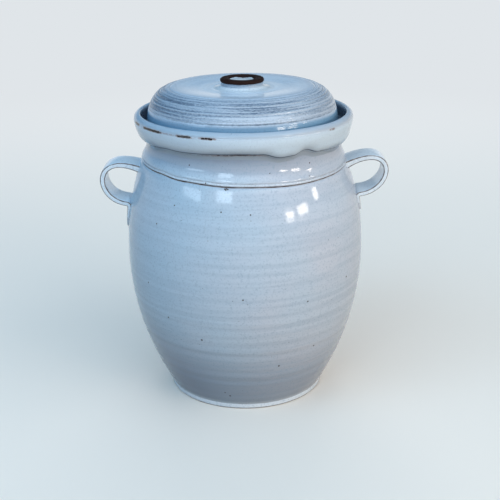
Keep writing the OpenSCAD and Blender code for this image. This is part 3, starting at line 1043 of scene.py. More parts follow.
    def _hang(self, p: Vector) -> float:
        """How far the lower edge is drawn up, or hangs down if negative.

        Args:
            p: A point of the ring as thrown.

        Returns:
            The way in millimetres.
        """
        r, angle, z = polar(p)
        low = rise(self.neck_r - 0.4, self.neck_r + 0.2, r) * (1 - rise(self.seat_z, self.seat_z + 9.5, z))
        return round_the_pot(self.drips, angle) * low

    def _swell(self, p: Vector) -> float:
        """How far a drip stands out from the wall.

        Args:
            p: A point of the ring.

        Returns:
            The stand-out in millimetres.
        """
        r, angle, z = polar(p)
        hang = max(0.0, -round_the_pot(self.drips, angle))
        return 0.22 * hang * rise(self.neck_r + 0.5, self.neck_r + 2, r) * hump(z, self.seat_z + 1, 4.0)

    def _hold(self, p: Vector) -> float:
        """How uneven the ring may be: not at all at its seat and bore.

        Args:
            p: A point of the ring.

        Returns:
            The share of the unevenness, from 0 to 1.
        """
        r, _, z = polar(p)
        return rise(self.seat_z + 4.5, self.seat_z + 11.5, z) * rise(self.neck_r - 1, self.neck_r + 6, r)


@dataclass
class StrapHandle:
    """A pulled strap handle, pressed onto the shoulder and thumbed down the belly."""

    name: str
    node: str
    # Which side it stands on: 1 for the right, -1 for the left
    side: int
    # Root's height over the shoulder, height of the loop, pull of its upper arm and length of the tail
    root_rise: float
    height: float
    spring: float
    tail_h: float
    sag: float = 3.5
    reach: float = 22.0
    width: float = 28.0
    root_flare: float = 5.0
    thickness: float = 4.5
    root_swell: float = 4.0
    tail_t: float = 2.2
    tail_end_w: float = 8.0
    root_depth: float = 5.0
    edge_round: float = 1.3
    crown: float = 0.35
    loop_rings: int = 36
    tail_rings: int = 14

    def path(self) -> list[tuple[tuple[float, float], ...]]:
        """The strap's middle line on the right-hand side.

        Returns:
            The four control points, radius and height in millimetres, of the loop and then of the tail.
        """
        jar = Jar()
        root_z = jar.shoulder_z + self.root_rise
        foot_z = root_z - self.height
        land = (jar.outside(foot_z) + self.thickness / 2, foot_z)
        root = (jar.shoulder_r - self.root_depth, root_z)
        out_x = jar.belly_r + self.reach - self.thickness / 2
        bulge_x = (8 * out_x - root[0] - land[0]) / 6
        high = (bulge_x, root_z + self.spring)
        low = (bulge_x, foot_z + self.sag)
        tip_z, bend_z = foot_z - self.tail_h, foot_z - self.tail_h / 4
        leave = (land[0] + (land[0] - low[0]) / 8, land[1] + (land[1] - low[1]) / 8)
        bend = (jar.outside(bend_z) + self.tail_t / 4, bend_z)
        tip = (jar.outside(tip_z) - self.tail_t / 6, tip_z)
        return [(root, high, low, land), (land, leave, bend, tip)]

    def draw_path(self) -> tuple[bpy.types.Object, float, float]:
        """Draws the middle line as a curve.

        Returns:
            The curve, the length of its loop and the length of the whole of it, in metres.
        """
        loop, tail = self.path()

        def at(point: tuple[float, float]) -> Vector:
            """Places a point of the path in the frame."""
            return Vector((self.side * point[0] * MM, 0, point[1] * MM))

        def bend(knot: bpy.types.BezierSplinePoint, *points: tuple[float, float]) -> None:
            """Sets a knot's place, the handle before it and the handle after it."""
            knot.handle_left_type = knot.handle_right_type = "FREE"
            knot.co, knot.handle_left, knot.handle_right = map(at, points)

        Bench.clear()
        bpy.ops.curve.primitive_bezier_curve_add()
        curve = bpy.context.object
        curve.data.resolution_u = 64
        spline = curve.data.splines[0]
        bend(spline.bezier_points[0], loop[0], loop[0], loop[1])
        bend(spline.bezier_points[1], loop[3], loop[2], loop[3])
        loop_length = spline.calc_length()
        spline.bezier_points.add(1)
        spline.bezier_points[1].handle_right = at(tail[1])
        bend(spline.bezier_points[2], tail[3], tail[2], tail[3])
        return curve, loop_length, spline.calc_length()

    def section(self, on_loop: float, on_tail: float) -> tuple[float, float]:
        """The strap's size at a place along it.

        Args:
            on_loop: Share of the loop that lies behind the place.
            on_tail: Share of the tail that lies behind the place.

        Returns:
            Width and thickness in millimetres.
        """
        full = self.width + self.root_flare * (2 * on_loop - 1) ** 2
        width = self.tail_end_w + (full - self.tail_end_w) * math.sqrt(max(0.0, 1 - on_tail**2))
        thick = self.tail_t + (self.thickness - self.tail_t) * (1 - on_tail) ** 2
        return width, thick + self.root_swell * (1 - on_loop) ** 8

    def iron(self, p: Vector, length: float, loop_length: float) -> float:
        """Strength of the iron along the strap's four edges, dying away down the tail.

        Args:
            p: A point of the straight strap.
            length: Length of the whole strap in metres.
            loop_length: Length of its loop in metres.

        Returns:
            The strength, from 0 to 1.
        """
        on_loop, on_tail = self.shares(p.z, length, loop_length)
        width, thick = self.section(on_loop, on_tail)
        from_side = (width / 2 - abs(p.x) / MM) * self.width / width
        from_face = (thick / 2 - abs(p.y) / MM) * self.thickness / thick
        show = 0.8 - 0.5 * rise(0.1, 0.6, on_tail)
        return show * hump(math.hypot(from_side - 0.4, from_face - 0.4), 0, 0.55)

    @staticmethod
    def shares(along: float, length: float, loop_length: float) -> tuple[float, float]:
        """Shares of the loop and of the tail that lie behind a place along the strap."""
        on_tail = max(0.0, (along - loop_length) / (length - loop_length))
        return min(1.0, along / loop_length), min(1.0, on_tail)

    def build(self, glaze: bpy.types.Material) -> None:
        """Pulls the strap straight, bends it along its line and glazes it.

        Args:
            glaze: The straps' glaze.
        """
        curve, loop_length, length = self.draw_path()
        piece = Bench.draw(self.name, self.outline())
        bpy.ops.mesh.edge_face_add()
        now = (self.width, self.thickness)
        stations = span(0, loop_length, self.loop_rings) + span(loop_length, length, self.tail_rings)[1:]
        for i, along in enumerate(stations):
            if i:
                step = {"value": (0, 0, along - stations[i - 1])}
                bpy.ops.mesh.extrude_region_move(TRANSFORM_OT_translate=step)
            then = self.section(*self.shares(along, length, loop_length))
            scale = (then[0] / now[0], then[1] / now[1], 1)
            bpy.ops.transform.resize(value=scale, center_override=(0, 0, along))
            now = then
        bpy.ops.mesh.select_all(action="SELECT")
        bpy.ops.mesh.normals_make_consistent(inside=False)
        bpy.ops.object.mode_set(mode="OBJECT")
        Bench.refine(piece)
        Bench.mark(piece, Mark.IRON, lambda p: self.iron(p, length, loop_length))
        # Painted light: the whole strap is whitened with the pool mark for the light that falls on it
        Bench.mark(piece, Mark.POOL, lambda _: 0.6)
        Bench.apply(piece, "CURVE", object=curve, deform_axis="POS_Z")
        bpy.data.objects.remove(curve)
        Bench.unevenness(piece, size=24, depth=0.6)
        Bench.hand_over(piece, Body.CROCK, self.node, Slot.WHITE_GLAZE, glaze)

    def outline(self) -> list[Vector]:
        """The strap's section: a flat bar with softly rounded edges, points close together at the corners.

        Returns:
            The section's points round the bar, in metres.
        """
        x, y, c = self.width / 2, self.thickness / 2, self.edge_round
        corners = ((1, 1, 0), (-1, 1, 90), (-1, -1, 180), (1, -1, 270))
        points: list[Vector] = []
        for sign_x, sign_y, turn in corners:
            middle_x, middle_y = sign_x * (x - c), sign_y * (y - c)
            points += [Vector((middle_x + c * math.cos(t), middle_y + c * math.sin(t), 0))
                       for t in span(math.radians(turn), math.radians(turn + 90), 4)]
            if turn in (0, 180):
                points += [Vector((sign_x * (x - c) * k, sign_y * (y + self.crown * (1 - k * k)), 0))
                           for k in (0.92, 0.7, 0.35, 0.0, -0.35, -0.7, -0.92)]
        return [p * MM for p in points]


@dataclass
class Lid:
    """The thrown lid: skirt, turned shoulder, smooth dished top and underside."""

    outer_r: float = 87.0
    inner_r: float = 81.0
    flat_r: float = 62.0
    skirt_z: float = 251.5
    spring_z: float = 255.5
    top_z: float = 288.5
    dish_z: float = 286.5
    roof_z: float = 280.5
    knob_r: float = 27.0
    squareness: float = 2.25
    notch_r: float = 3.0
    # Height where the smooth band ends and the turned shoulder begins
    band_z: float = 270.0
    # Depth, count and phase of the turning marks over the shoulder
    turning_marks: tuple[tuple[float, float, float], ...] = (
        (0.13, 62, 0.0), (0.10, 97, 1.0), (0.07, 41, 2.2))
    # Radius, height and depth of the turned lines, from the skirt to the top
    lines: tuple[tuple[float, float, float], ...] = (
        (84.8, 270.5, 0.3), (76.7, 283.5, 0.25), (74.2, 285.4, 0.35), (72.2, 286.4, 0.25), (65.7, 288.2, 0.4))
    # How dry the shoulder is round the lid
    dryness: Stops = ((-180, 1.0), (-120, 1.0), (-88, 1.0), (-50, 0.75), (0, 0.72), (80, 0.9))

    def shoulder(self, t: float, r: float, z: float) -> tuple[float, float]:
        """A point on the squared-off shoulder.

        Args:
            t: Angle over the shoulder, from 0 at the skirt to a quarter turn at the top.
            r: The skirt's radius in millimetres.
            z: The top's height in millimetres.

        Returns:
            Radius and height of the point in millimetres.
        """
        power = 2 / self.squareness
        return (self.flat_r + (r - self.flat_r) * max(0.0, math.cos(t)) ** power,
                self.spring_z + (z - self.spring_z) * max(0.0, math.sin(t)) ** power)

    def in_lines(self, r: float, z: float, width: float) -> float:
        """How deep a point lies in the turned lines, which die away over a width."""
        return sum(depth * hump(math.hypot(r - line_r, z - line_z), 0, width)
                   for line_r, line_z, depth in self.lines)

    def turning(self, t: float, r: float, z: float) -> float:
        """The turning marks and lines on the shoulder.

        Args:
            t: Angle over the shoulder.
            r: Radius of the point in millimetres.
            z: Height of the point in millimetres.

        Returns:
            How far they stand out there in millimetres.
        """
        marks = sum(depth * math.sin(t * count + phase) for depth, count, phase in self.turning_marks)
        rough = rise(self.band_z, self.band_z + 3, z) * rise(self.flat_r + 4, self.flat_r + 8, r)
        return marks * (0.12 + 0.88 * rough) - self.in_lines(r, z, 0.6)

    def profile(self) -> Profile:
        """The lid's whole section, from the middle of its underside round the skirt to the middle of its top.

        Returns:
            Radius and height of each point in millimetres.
        """
        under = [(0, self.roof_z), (25, self.roof_z), (48, self.roof_z)]
        under += [self.shoulder(t, self.inner_r, self.roof_z) for t in span(math.pi / 2, 0, 18)]
        r, z = self.inner_r, self.skirt_z
        skirt = [(r, z + 1.2), (r + 0.3, z + 0.25), (r + 1.2, z), (self.outer_r - 1.2, z),
                 (self.outer_r - 0.3, z + 0.25), (self.outer_r, z + 1.2)]
        turned = []
        for t in span(0, math.pi / 2, 96):
            x, y = self.shoulder(t, self.outer_r, self.top_z)
            depth = self.turning(t, x, y)
            turned.append((x + depth * math.cos(t), y + depth * math.sin(t)))
        top = []
        for x in span(self.flat_r - 1.5, self.knob_r + 1, 20):
            sink = (self.top_z - self.dish_z) * ease((x - self.knob_r) / (self.flat_r - self.knob_r))
            lift = 0.5 * (1 - rise(self.knob_r, self.knob_r + 13, x))
            top.append((x, self.top_z - sink + lift + 0.03 * math.sin(x * 1.7)))
        return under + skirt + turned + top + [(18, self.dish_z - 0.3), (0, self.dish_z - 0.3)]

    def is_inside(self, r: float, z: float) -> bool:
        """Whether a point lies on the lid's underside or inside its skirt."""
        return z < self.roof_z and r < self.shoulder_r(z) - 3

    def wet(self, angle: float, z: float) -> float:
        """Share of the painted sky reflection low on the front of the turned shoulder, laid as thick glaze.

        Args:
            angle: An angle round the lid in degrees.
            z: A height in millimetres.

        Returns:
            The share, from 0 to 1.
        """
        low = rise(self.band_z + 0.4, self.band_z + 1.4, z)
        low *= 1 - rise(self.band_z + 5, self.band_z + 9.5, z)
        return hump(angle, -86, 36) * low

    def dry(self, p: Vector) -> float:
        """Where the glaze is thin and dry: the turned shoulder, less under the painted sky reflection, and
        faintly the top's edge.

        Args:
            p: A point of the lid as thrown.

        Returns:
            The strength, from 0 to 1.
        """
        r, angle, z = polar(p)
        if self.is_inside(r, z):
            return 0.0
        shoulder = rise(self.band_z, self.band_z + 2, z) * rise(self.flat_r + 2, self.flat_r + 9, r)
        # Less dry under the painted sky reflection in front
        shoulder *= 1 - 0.6 * self.wet(angle, z)
        ring = 0.14 * rise(self.flat_r - 12, self.flat_r - 4, r) * rise(self.dish_z, self.dish_z + 1, z)
        return round_the_pot(self.dryness, angle) * max(shoulder, ring)

    def faint(self, p: Vector) -> float:
        """Where the glaze is thin but smooth: the band below the turned shoulder.

        Args:
            p: A point of the lid as thrown.

        Returns:
            The strength, from 0 to 1.
        """
        r, _, z = polar(p)
        if self.is_inside(r, z):
            return 0.0
        return 0.95 * (1 - rise(self.band_z - 3, self.band_z + 1, z))

    def pool(self, p: Vector) -> float:
        """Where the glaze is thick and white: round the knob, less on the rest of the dish, and low in front
        as a painted sky reflection.

        Args:
            p: A point of the lid as thrown.

        Returns:
            The strength, from 0 to 1.
        """
        r, angle, z = polar(p)
        # Outside the top: only the painted sky reflection low on the front of the shoulder
        if r > self.shoulder_r(z) - 3 and z < self.roof_z:
            return 0.2 * self.wet(angle, z)
        near = rise(self.knob_r + 3, self.knob_r + 17, r)
        far = rise(self.flat_r - 8, self.flat_r + 1, r)
        return rise(self.roof_z + 2, self.dish_z, z) * (1 - 0.5 * near - 0.5 * far)

    def iron(self, p: Vector) -> float:
        """Strength of the iron: the turned lines, most of all the lowest in front, and the skirt's edge.

        Args:
            p: A point of the lid as thrown.

        Returns:
            The strength, from 0 to 1.
        """
        r, angle, z = polar(p)
        if self.is_inside(r, z):
            return 0.0
        first_r, first_z, _ = self.lines[0]
        lowest = 0.3 * hump(angle, -74, 50) * hump(math.hypot(r - first_r, z - first_z), 0, 0.8)
        return 0.7 * self.in_lines(r, z, 0.8) + lowest + 0.6 * hump(z, self.skirt_z, 1.0)

    def shoulder_r(self, z: float) -> float:
        """The lid's outline.

        Args:
            z: A height in millimetres.

        Returns:
            The outside's radius there in millimetres.
        """
        share = min(1.0, max(0.0, (z - self.spring_z) / (self.top_z - self.spring_z)))
        full = (1 - share**self.squareness) ** (1 / self.squareness)
        return self.flat_r + (self.outer_r - self.flat_r) * full

    def build(self, glaze: bpy.types.Material) -> None:
        """Throws the lid, cuts its two gas notches and glazes it.

        Args:
            glaze: The lid's thinner glaze.
        """
        piece = Bench.throw("lid_thrown", self.profile())
        Bench.refine(piece)
        Bench.mark(piece, Mark.DRY, self.dry)
        Bench.mark(piece, Mark.FAINT, self.faint)
        Bench.mark(piece, Mark.IRON, self.iron)
        Bench.mark(piece, Mark.POOL, self.pool)
        Bench.mark(piece, Mark.BARE, lambda p: 1 - rise(self.skirt_z + 0.1, self.skirt_z + 0.6, p.z / MM))
        Bench.unevenness(piece, size=60, depth=0.6, hold=self._hold)
        for turn in (45, 225):
            self._notch(piece, math.radians(turn))
        Bench.shift(piece, OFF_CENTRE)
        Bench.hand_over(piece, Body.LID, "lid", Slot.LID_GLAZE, glaze)

    def _hold(self, p: Vector) -> float:
        """How uneven the lid may be: not at all at its skirt and under the knob.

        Args:
            p: A point of the lid.

        Returns:
            The share of the unevenness, from 0 to 1.
        """
        r, _, z = polar(p)
        return rise(self.spring_z + 2.5, self.spring_z + 12.5, z) * rise(self.knob_r + 3, self.knob_r + 18, r)

    def _notch(self, piece: bpy.types.Object, turn: float) -> None:
        """Cuts a half-round notch through the skirt's lower edge.

        Args:
            piece: The lid.
            turn: Angle of the notch round the lid, in radians.
        """
        middle = (self.inner_r + self.outer_r) / 2 * MM
        place = (middle * math.cos(turn), middle * math.sin(turn), self.skirt_z * MM)
        Bench.clear()
        bpy.ops.mesh.primitive_cylinder_add(vertices=32, radius=self.notch_r * MM, depth=20 * MM,
                                            location=place, rotation=(0, math.pi / 2, turn))
        cutter = bpy.context.object
        Bench.apply(piece, "BOOLEAN", object=cutter, operation="DIFFERENCE", solver="EXACT")
        bpy.data.objects.remove(cutter)


@dataclass
class Knob:
    """The hollow ring knob on its flared foot, its ring left bare and its hollow holding a pool of glaze."""

    base_z: float = 286.5
    base_r: float = 27.0
    waist_r: float = 19.0
    waist_z: float = 290.5
    ring_r: float = 20.0
    hollow_r: float = 12.5
    floor_r: float = 8.0
    top_z: float = 295.6
    hollow_d: float = 2.0
    wall_h: float = 3.6
    # Radius of the white pool round the hollow; it narrows at the back, where the bare clay lays a painted
    # shadow in the hollow
    pool_edge: Stops = ((-180, 11.2), (-120, 11.7), (-60, 11.0), (-15, 10.2), (20, 10.6), (46, 11.4),
                        (66, 9.6), (83, 7.6), (100, 9.4), (118, 11.5), (148, 10.9))

    def profile(self) -> Profile:
        """The knob's whole section, from the middle of its base up the outside and down into its hollow.

        Returns:
            Radius and height of each point in millimetres.
        """
        base_r, base_z, edge_z = self.base_r, self.base_z, self.base_z + 0.35
        foot = [(0, base_z - 0.4), (14, base_z - 0.4), (base_r - 1, base_z - 0.4), (base_r, base_z - 0.1)]
        foot += [(base_r - (base_r - self.waist_r) * math.sin(t),
                  self.waist_z - (self.waist_z - edge_z) * math.cos(t))
                 for t in span(0.1, math.pi / 2 - 0.15, 12)]
        low_z, top_z, out_r, in_r = self.top_z - self.wall_h, self.top_z, self.ring_r, self.hollow_r
        ring = [(self.waist_r - 0.1, low_z - 0.5), (self.waist_r, low_z), (out_r - 0.55, low_z + 0.35),
                (out_r - 0.15, low_z + 1.0), (out_r, low_z + 1.7), (out_r - 0.15, top_z - 1.2),
                (out_r - 0.55, top_z - 0.6), (out_r - 1.2, top_z - 0.18), (out_r - 2.2, top_z),
                ((out_r + in_r) / 2, top_z), (in_r + 0.9, top_z - 0.04), (in_r + 0.3, top_z - 0.3),
                (in_r - 0.1, top_z - 0.8)]
        floor_z = self.top_z - self.hollow_d
        bowl = [(in_r - 0.7, floor_z + 0.55), (in_r - 1.8, floor_z + 0.2), (self.floor_r, floor_z)]
        return foot + ring + bowl + [(self.floor_r * 0.5, floor_z), (0, floor_z)]

    def bare(self, p: Vector) -> float:
        """Where no glaze covers the clay: the ring's sides and top, down to the pool's edge.

        Args:
            p: A point of the knob as thrown.

        Returns:
            The strength, from 0 to 1.
        """
        r, angle, z = polar(p)
        edge = round_the_pot(self.pool_edge, angle)
        dry = rise(edge - 1.0, edge + 1.0, r)
        low_z = self.top_z - self.wall_h
        return dry * (1 if r < self.hollow_r else rise(low_z - 0.3, low_z + 0.5, z))

    def build(self, glaze: bpy.types.Material) -> None:
        """Throws the knob and dresses it.

        Args:
            glaze: The knob's glaze, which stops at the bare ring.
        """
        piece = Bench.throw("knob_thrown", self.profile(), steps=72)
        Bench.refine(piece)
        Bench.mark(piece, Mark.BARE, self.bare)
        Bench.mark(piece, Mark.POOL, lambda p: 1 - self._waist(p))
        # Painted shade on the waist under the ring, laid with the dry mark
        Bench.mark(piece, Mark.DRY, lambda p: 0.9 * self._waist(p))
        Bench.unevenness(piece, size=14, depth=0.3)
        Bench.shift(piece, OFF_CENTRE)
        Bench.hand_over(piece, Body.LID, "lid_knob", Slot.IRON_CLAY, glaze)

    def _waist(self, p: Vector) -> float:
        """Share of the painted shade on the waist under the bare ring, laid as thin, dry glaze."""
        r, _, z = polar(p)
        return rise(self.waist_z - 2.2, self.waist_z, z) * rise(self.hollow_r, self.hollow_r + 1, r)


@dataclass
class WeightStone:
    """A half-moon weight of bare stoneware, one of the pair that holds the food under the brine."""

    name: str
    node: str
    body: Body
    # Which half it is: 1 for the right, -1 for the left
    side: int
    radius: float = 82.0
    thickness: float = 22.0
    bevel_h: float = 6.0
    edge_round: float = 4.0
    gap: float = 3.0
    finger_r: float = 13.0
    play: float = 0.3
    # Width of the worn edges and grain of the worn faces
    wear: float = 1.3
    voxel: float = 1.2

    def profile(self) -> Profile:
        """The closed section of the pair, from the finger hole along the bed and back over the top.

        Returns:
            Radius and height of each point in millimetres, the first one repeated at the end.
        """
        jar = Jar()
        share = (jar.belly_r - self.radius - self.play - jar.wall) / (jar.belly_r - jar.foot_r)
        bevel_z = jar.belly_z - (jar.belly_z - jar.foot_h) * share ** (1 / jar.lower_fullness)
        bed_z = bevel_z - self.bevel_h
        bed_r = jar.outside(bed_z) - jar.wall - self.play
        top_z, c = bed_z + self.thickness, self.edge_round
        edge = [(self.radius - c + c * math.cos(t), top_z - c + c * math.sin(t))
                for t in span(0, math.pi / 2, 6)]
        closed = [(self.finger_r, bed_z), (bed_r, bed_z), (self.radius, bevel_z), *edge,
                  (self.finger_r, top_z)]
        return [*closed, closed[0]]

    def build(self, clay: bpy.types.Material) -> None:
        """Throws the pair, cuts this half from it, and wears its edges and faces.

        Args:
            clay: The bare stoneware.
        """
        piece = Bench.throw(self.name, self.profile())
        Bench.take(piece)
        bpy.ops.object.mode_set(mode="EDIT")
        bpy.ops.mesh.select_all(action="SELECT")
        bpy.ops.mesh.bisect(plane_co=(self.side * self.gap / 2 * MM, 0, 0), plane_no=(self.side, 0, 0),
                            use_fill=True, clear_inner=True)
        bpy.ops.object.mode_set(mode="OBJECT")
        Bench.apply(piece, "BEVEL", width=self.wear * MM, segments=3, limit_method="ANGLE",
                    angle_limit=math.radians(35))
        Bench.apply(piece, "REMESH", mode="VOXEL", voxel_size=self.voxel * MM)
        Bench.apply(piece, "SMOOTH", factor=0.5, iterations=3)
        Bench.unevenness(piece, size=26, depth=0.7, level=1.0)
        Bench.unevenness(piece, size=4, depth=0.3, level=1.0)
        Bench.hand_over(piece, self.body, self.node, Slot.BARE_STONEWARE, clay)


@dataclass
class Studio:
    """Pale floor, soft light from a window side, and the camera."""

    floor: str = "#f0e8dd"
    floor_bounce: str = "#5e4a36"
    backdrop: str = "#e0e5e9"
    warm_side: str = "#dad5d2"
    cool_side: str = "#587d9a"
    zenith: str = "#aed8f8"
    band_warm: str = "#f0f4f8"
    band_cool: str = "#a8dcff"
    window_light: str = "#fff3e6"
    sky_light: str = "#cfe6fb"
    room_strength: float = 0.58
    band_strength: float = 1.5
    # Direction that the warm light comes from
    warm_way: tuple[float, float, float] = (0.75, -0.66, 0.0)
    # Sines of the heights where the bright band starts and ends, and where the mirrored backdrop ends
    band_start: tuple[float, float] = (0.47, 0.58)
    band_end: tuple[float, float] = (0.78, 0.9)
    backdrop_end: tuple[float, float] = (0.05, 0.26)
    # Distances in metres between which the floor fades into the backdrop
    floor_fade: tuple[float, float] = (0.35, 1.6)
    # Height in millimetres that the lamps face
    aim_z: float = 200.0
    # Camera: place in millimetres, tilt and roll in degrees, focal length and picture's width in pixels
    eye: tuple[float, float, float] = (4.59, -917.9, 458.1)
    tilt: float = 19.641
    roll: float = 0.63
    focal: float = 1021.4
    picture: float = 500.0

    def build(self) -> None:
        """Sets the stage, the lights and the camera."""
        self.lay_floor()
        self.light_world()
        self.hang_lamp("key", turn=34, lift=20, away=2.2, size=(1.2, 1.0), power=8.8, colour="#fff4ea",
                       mirrored=False)
        self.hang_lamp("front_soft", turn=8, lift=8, away=2.4, size=(1.8, 1.2), power=11.0, colour="#fff9f6",
                       mirrored=False)
        self.hang_lamp("cool_fill", turn=-48, lift=44, away=1.6, size=(1.0, 0.8), power=3.0, colour="#a2ccf6",
                       mirrored=False)
        self.hang_lamp("back_soft", turn=178, lift=20, away=2.4, size=(1.8, 1.2), power=24.0,
                       colour="#f6f6f8", mirrored=False)
        self.hang_lamp("window_pane_left", turn=44.5, lift=12, away=1.6, size=(0.23, 0.19), power=2.0,
                       colour=self.window_light)
        self.hang_lamp("window_pane_right", turn=59, lift=12, away=1.6, size=(0.31, 0.22), power=2.8,
                       colour=self.window_light)
        self.hang_lamp("window_pane_far", turn=77.5, lift=16, away=1.6, size=(0.14, 0.13), power=0.8,
                       colour=self.window_light)
        self.hang_lamp("sky_patch_near", turn=-20, lift=27, away=1.6, size=(0.36, 0.28), power=2.2,
                       colour=self.sky_light)
        self.hang_lamp("sky_patch_far", turn=-56, lift=21, away=1.6, size=(0.6, 0.24), power=2.0,
                       colour=self.sky_light)
        self.set_camera()

    def lay_floor(self) -> None:
        """Lays a plain pale floor that throws little light back up at the pot and fades into the backdrop."""
        Bench.clear()
        bpy.ops.mesh.primitive_plane_add(size=30)
        floor = bpy.context.object
        floor.name = "floor"
        material = bpy.data.materials.new("pale_floor")
        material.use_nodes = True
        tree = material.node_tree
        tree.nodes.clear()
        camera = add_node(tree, "ShaderNodeLightPath", {}, "Is Camera Ray")
        glossy, glass = camera.node.outputs["Is Glossy Ray"], camera.node.outputs["Is Transmission Ray"]
        seen = add_node(tree, "ShaderNodeMath", {0: camera, 1: glossy}, operation="MAXIMUM")
        seen = add_node(tree, "ShaderNodeMath", {0: seen, 1: glass}, operation="MAXIMUM")
        colour = add_node(tree, "ShaderNodeMix",
                          {0: seen, 6: linear(self.floor_bounce), 7: linear(self.floor)}, 2, data_type="RGBA")
        paper = add_node(tree, "ShaderNodeBsdfPrincipled", {"Base Color": colour, "Roughness": 0.9})
        place = add_node(tree, "ShaderNodeTexCoord", {}, "Object")
        away = add_node(tree, "ShaderNodeVectorMath", {0: place}, "Value", operation="LENGTH")
        start, end = self.floor_fade
        far = add_node(tree, "ShaderNodeMapRange", {0: away, 1: start, 2: end, 3: 0.0, 4: 1.0},
                       interpolation_type="SMOOTHSTEP")
        fade = add_node(tree, "ShaderNodeMath", {0: far, 1: seen}, operation="MULTIPLY")
        wall = add_node(tree, "ShaderNodeEmission", {"Color": linear(self.backdrop), "Strength": 1.0})
        both = add_node(tree, "ShaderNodeMixShader", {0: fade, 1: paper, 2: wall})
        add_node(tree, "ShaderNodeOutputMaterial", {"Surface": both})
        floor.data.materials.append(material)

    def light_world(self) -> None:
        """Fills the room with soft light: warm from the right, cool from the left, bright high in front.

        The camera sees the pale backdrop instead, and so does the glaze near the horizon.
        """
        world = bpy.data.worlds.new("soft_room")
        bpy.context.scene.world = world
        world.use_nodes = True
        tree = world.node_tree
        tree.nodes.clear()
        way = add_node(tree, "ShaderNodeTexCoord", {}, "Generated")
        x = add_node(tree, "ShaderNodeSeparateXYZ", {0: way}, "X")
        y, z = x.node.outputs["Y"], x.node.outputs["Z"]
        side = add_node(tree, "ShaderNodeVectorMath", {0: way, 1: self.warm_way}, "Value",
                        operation="DOT_PRODUCT")
        warm = add_node(tree, "ShaderNodeMapRange", {0: side, 1: -0.8, 2: 0.9, 3: 0.0, 4: 1.0})
        room = add_node(tree, "ShaderNodeMix",
                        {0: warm, 6: linear(self.cool_side), 7: linear(self.warm_side)}, 2, data_type="RGBA")
        high = add_node(tree, "ShaderNodeMapRange", {0: z, 1: 0.3, 2: 0.95, 3: 0.0, 4: 1.0})
        room = add_node(tree, "ShaderNodeMix", {0: high, 6: room, 7: linear(self.zenith)}, 2,
                        data_type="RGBA")
        soft = add_node(tree, "ShaderNodeBackground", {"Color": room, "Strength": self.room_strength})
        start, full = self.band_start
        low = add_node(tree, "ShaderNodeMapRange", {0: z, 1: start, 2: full, 3: 0.0, 4: self.band_strength},
                       interpolation_type="SMOOTHSTEP")
        fade, end = self.band_end
        top = add_node(tree, "ShaderNodeMapRange", {0: z, 1: fade, 2: end, 3: 1.0, 4: 0.0},
                       interpolation_type="SMOOTHSTEP")
        front = add_node(tree, "ShaderNodeMapRange", {0: y, 1: 0.15, 2: -0.3, 3: 0.0, 4: 1.0},
                         interpolation_type="SMOOTHSTEP")
        band = add_node(tree, "ShaderNodeMath", {0: low, 1: top}, operation="MULTIPLY")
        band = add_node(tree, "ShaderNodeMath", {0: band, 1: front}, operation="MULTIPLY")
        across = add_node(tree, "ShaderNodeMapRange", {0: x, 1: -0.6, 2: 0.6, 3: 0.0, 4: 1.0})
        tint = add_node(tree, "ShaderNodeMix",
                        {0: across, 6: linear(self.band_cool), 7: linear(self.band_warm)}, 2,
                        data_type="RGBA")
        bright = add_node(tree, "ShaderNodeBackground", {"Color": tint, "Strength": band})
        light = add_node(tree, "ShaderNodeAddShader", {0: soft, 1: bright})
        camera = add_node(tree, "ShaderNodeLightPath", {}, "Is Camera Ray")
        glossy, glass = camera.node.outputs["Is Glossy Ray"], camera.node.outputs["Is Transmission Ray"]
        mirrored = add_node(tree, "ShaderNodeMath", {0: glossy, 1: glass}, operation="MAXIMUM")
        fade, end = self.backdrop_end
        near = add_node(tree, "ShaderNodeMapRange", {0: z, 1: fade, 2: end, 3: 1.0, 4: 0.0},
                        interpolation_type="SMOOTHSTEP")
        mirrored = add_node(tree, "ShaderNodeMath", {0: mirrored, 1: near}, operation="MULTIPLY")
        seen = add_node(tree, "ShaderNodeMath", {0: camera, 1: mirrored}, operation="MAXIMUM")
        wall = add_node(tree, "ShaderNodeBackground", {"Color": linear(self.backdrop), "Strength": 1.0})
        both = add_node(tree, "ShaderNodeMixShader", {0: seen, 1: light, 2: wall})
        add_node(tree, "ShaderNodeOutputWorld", {"Surface": both})

    def hang_lamp(self, name: str, turn: float, lift: float, away: float, size: tuple[float, float],
                  power: float, colour: str, mirrored: bool = True) -> None:
        """Hangs a rectangular lamp that faces the pot's shoulder.

        Args:
            name: The lamp's name.
            turn: Degrees to the right of the front.
            lift: Degrees above the shoulder's level.
            away: Distance from the shoulder in metres.
            size: Width and height of the lamp in metres.
            power: Its power in watts.
            colour: Its colour as an sRGB hex value.
            mirrored: Whether the glaze shows its reflection.
        """
        side, up = math.radians(turn), math.radians(lift)
        back = Vector((math.sin(side) * math.cos(up), -math.cos(side) * math.cos(up), math.sin(up)))
        data = bpy.data.lights.new(name, "AREA")
        data.shape = "RECTANGLE"
        data.size, data.size_y = size
        data.energy = power
        data.color = linear(colour)[:3]
        lamp = bpy.data.objects.new(name, data)
        bpy.context.scene.collection.objects.link(lamp)
        lamp.location = Vector((0, 0, self.aim_z * MM)) + back * away
        lamp.rotation_mode = "QUATERNION"
        lamp.rotation_quaternion = (-back).to_track_quat("-Z", "Y")
        lamp.visible_glossy = mirrored

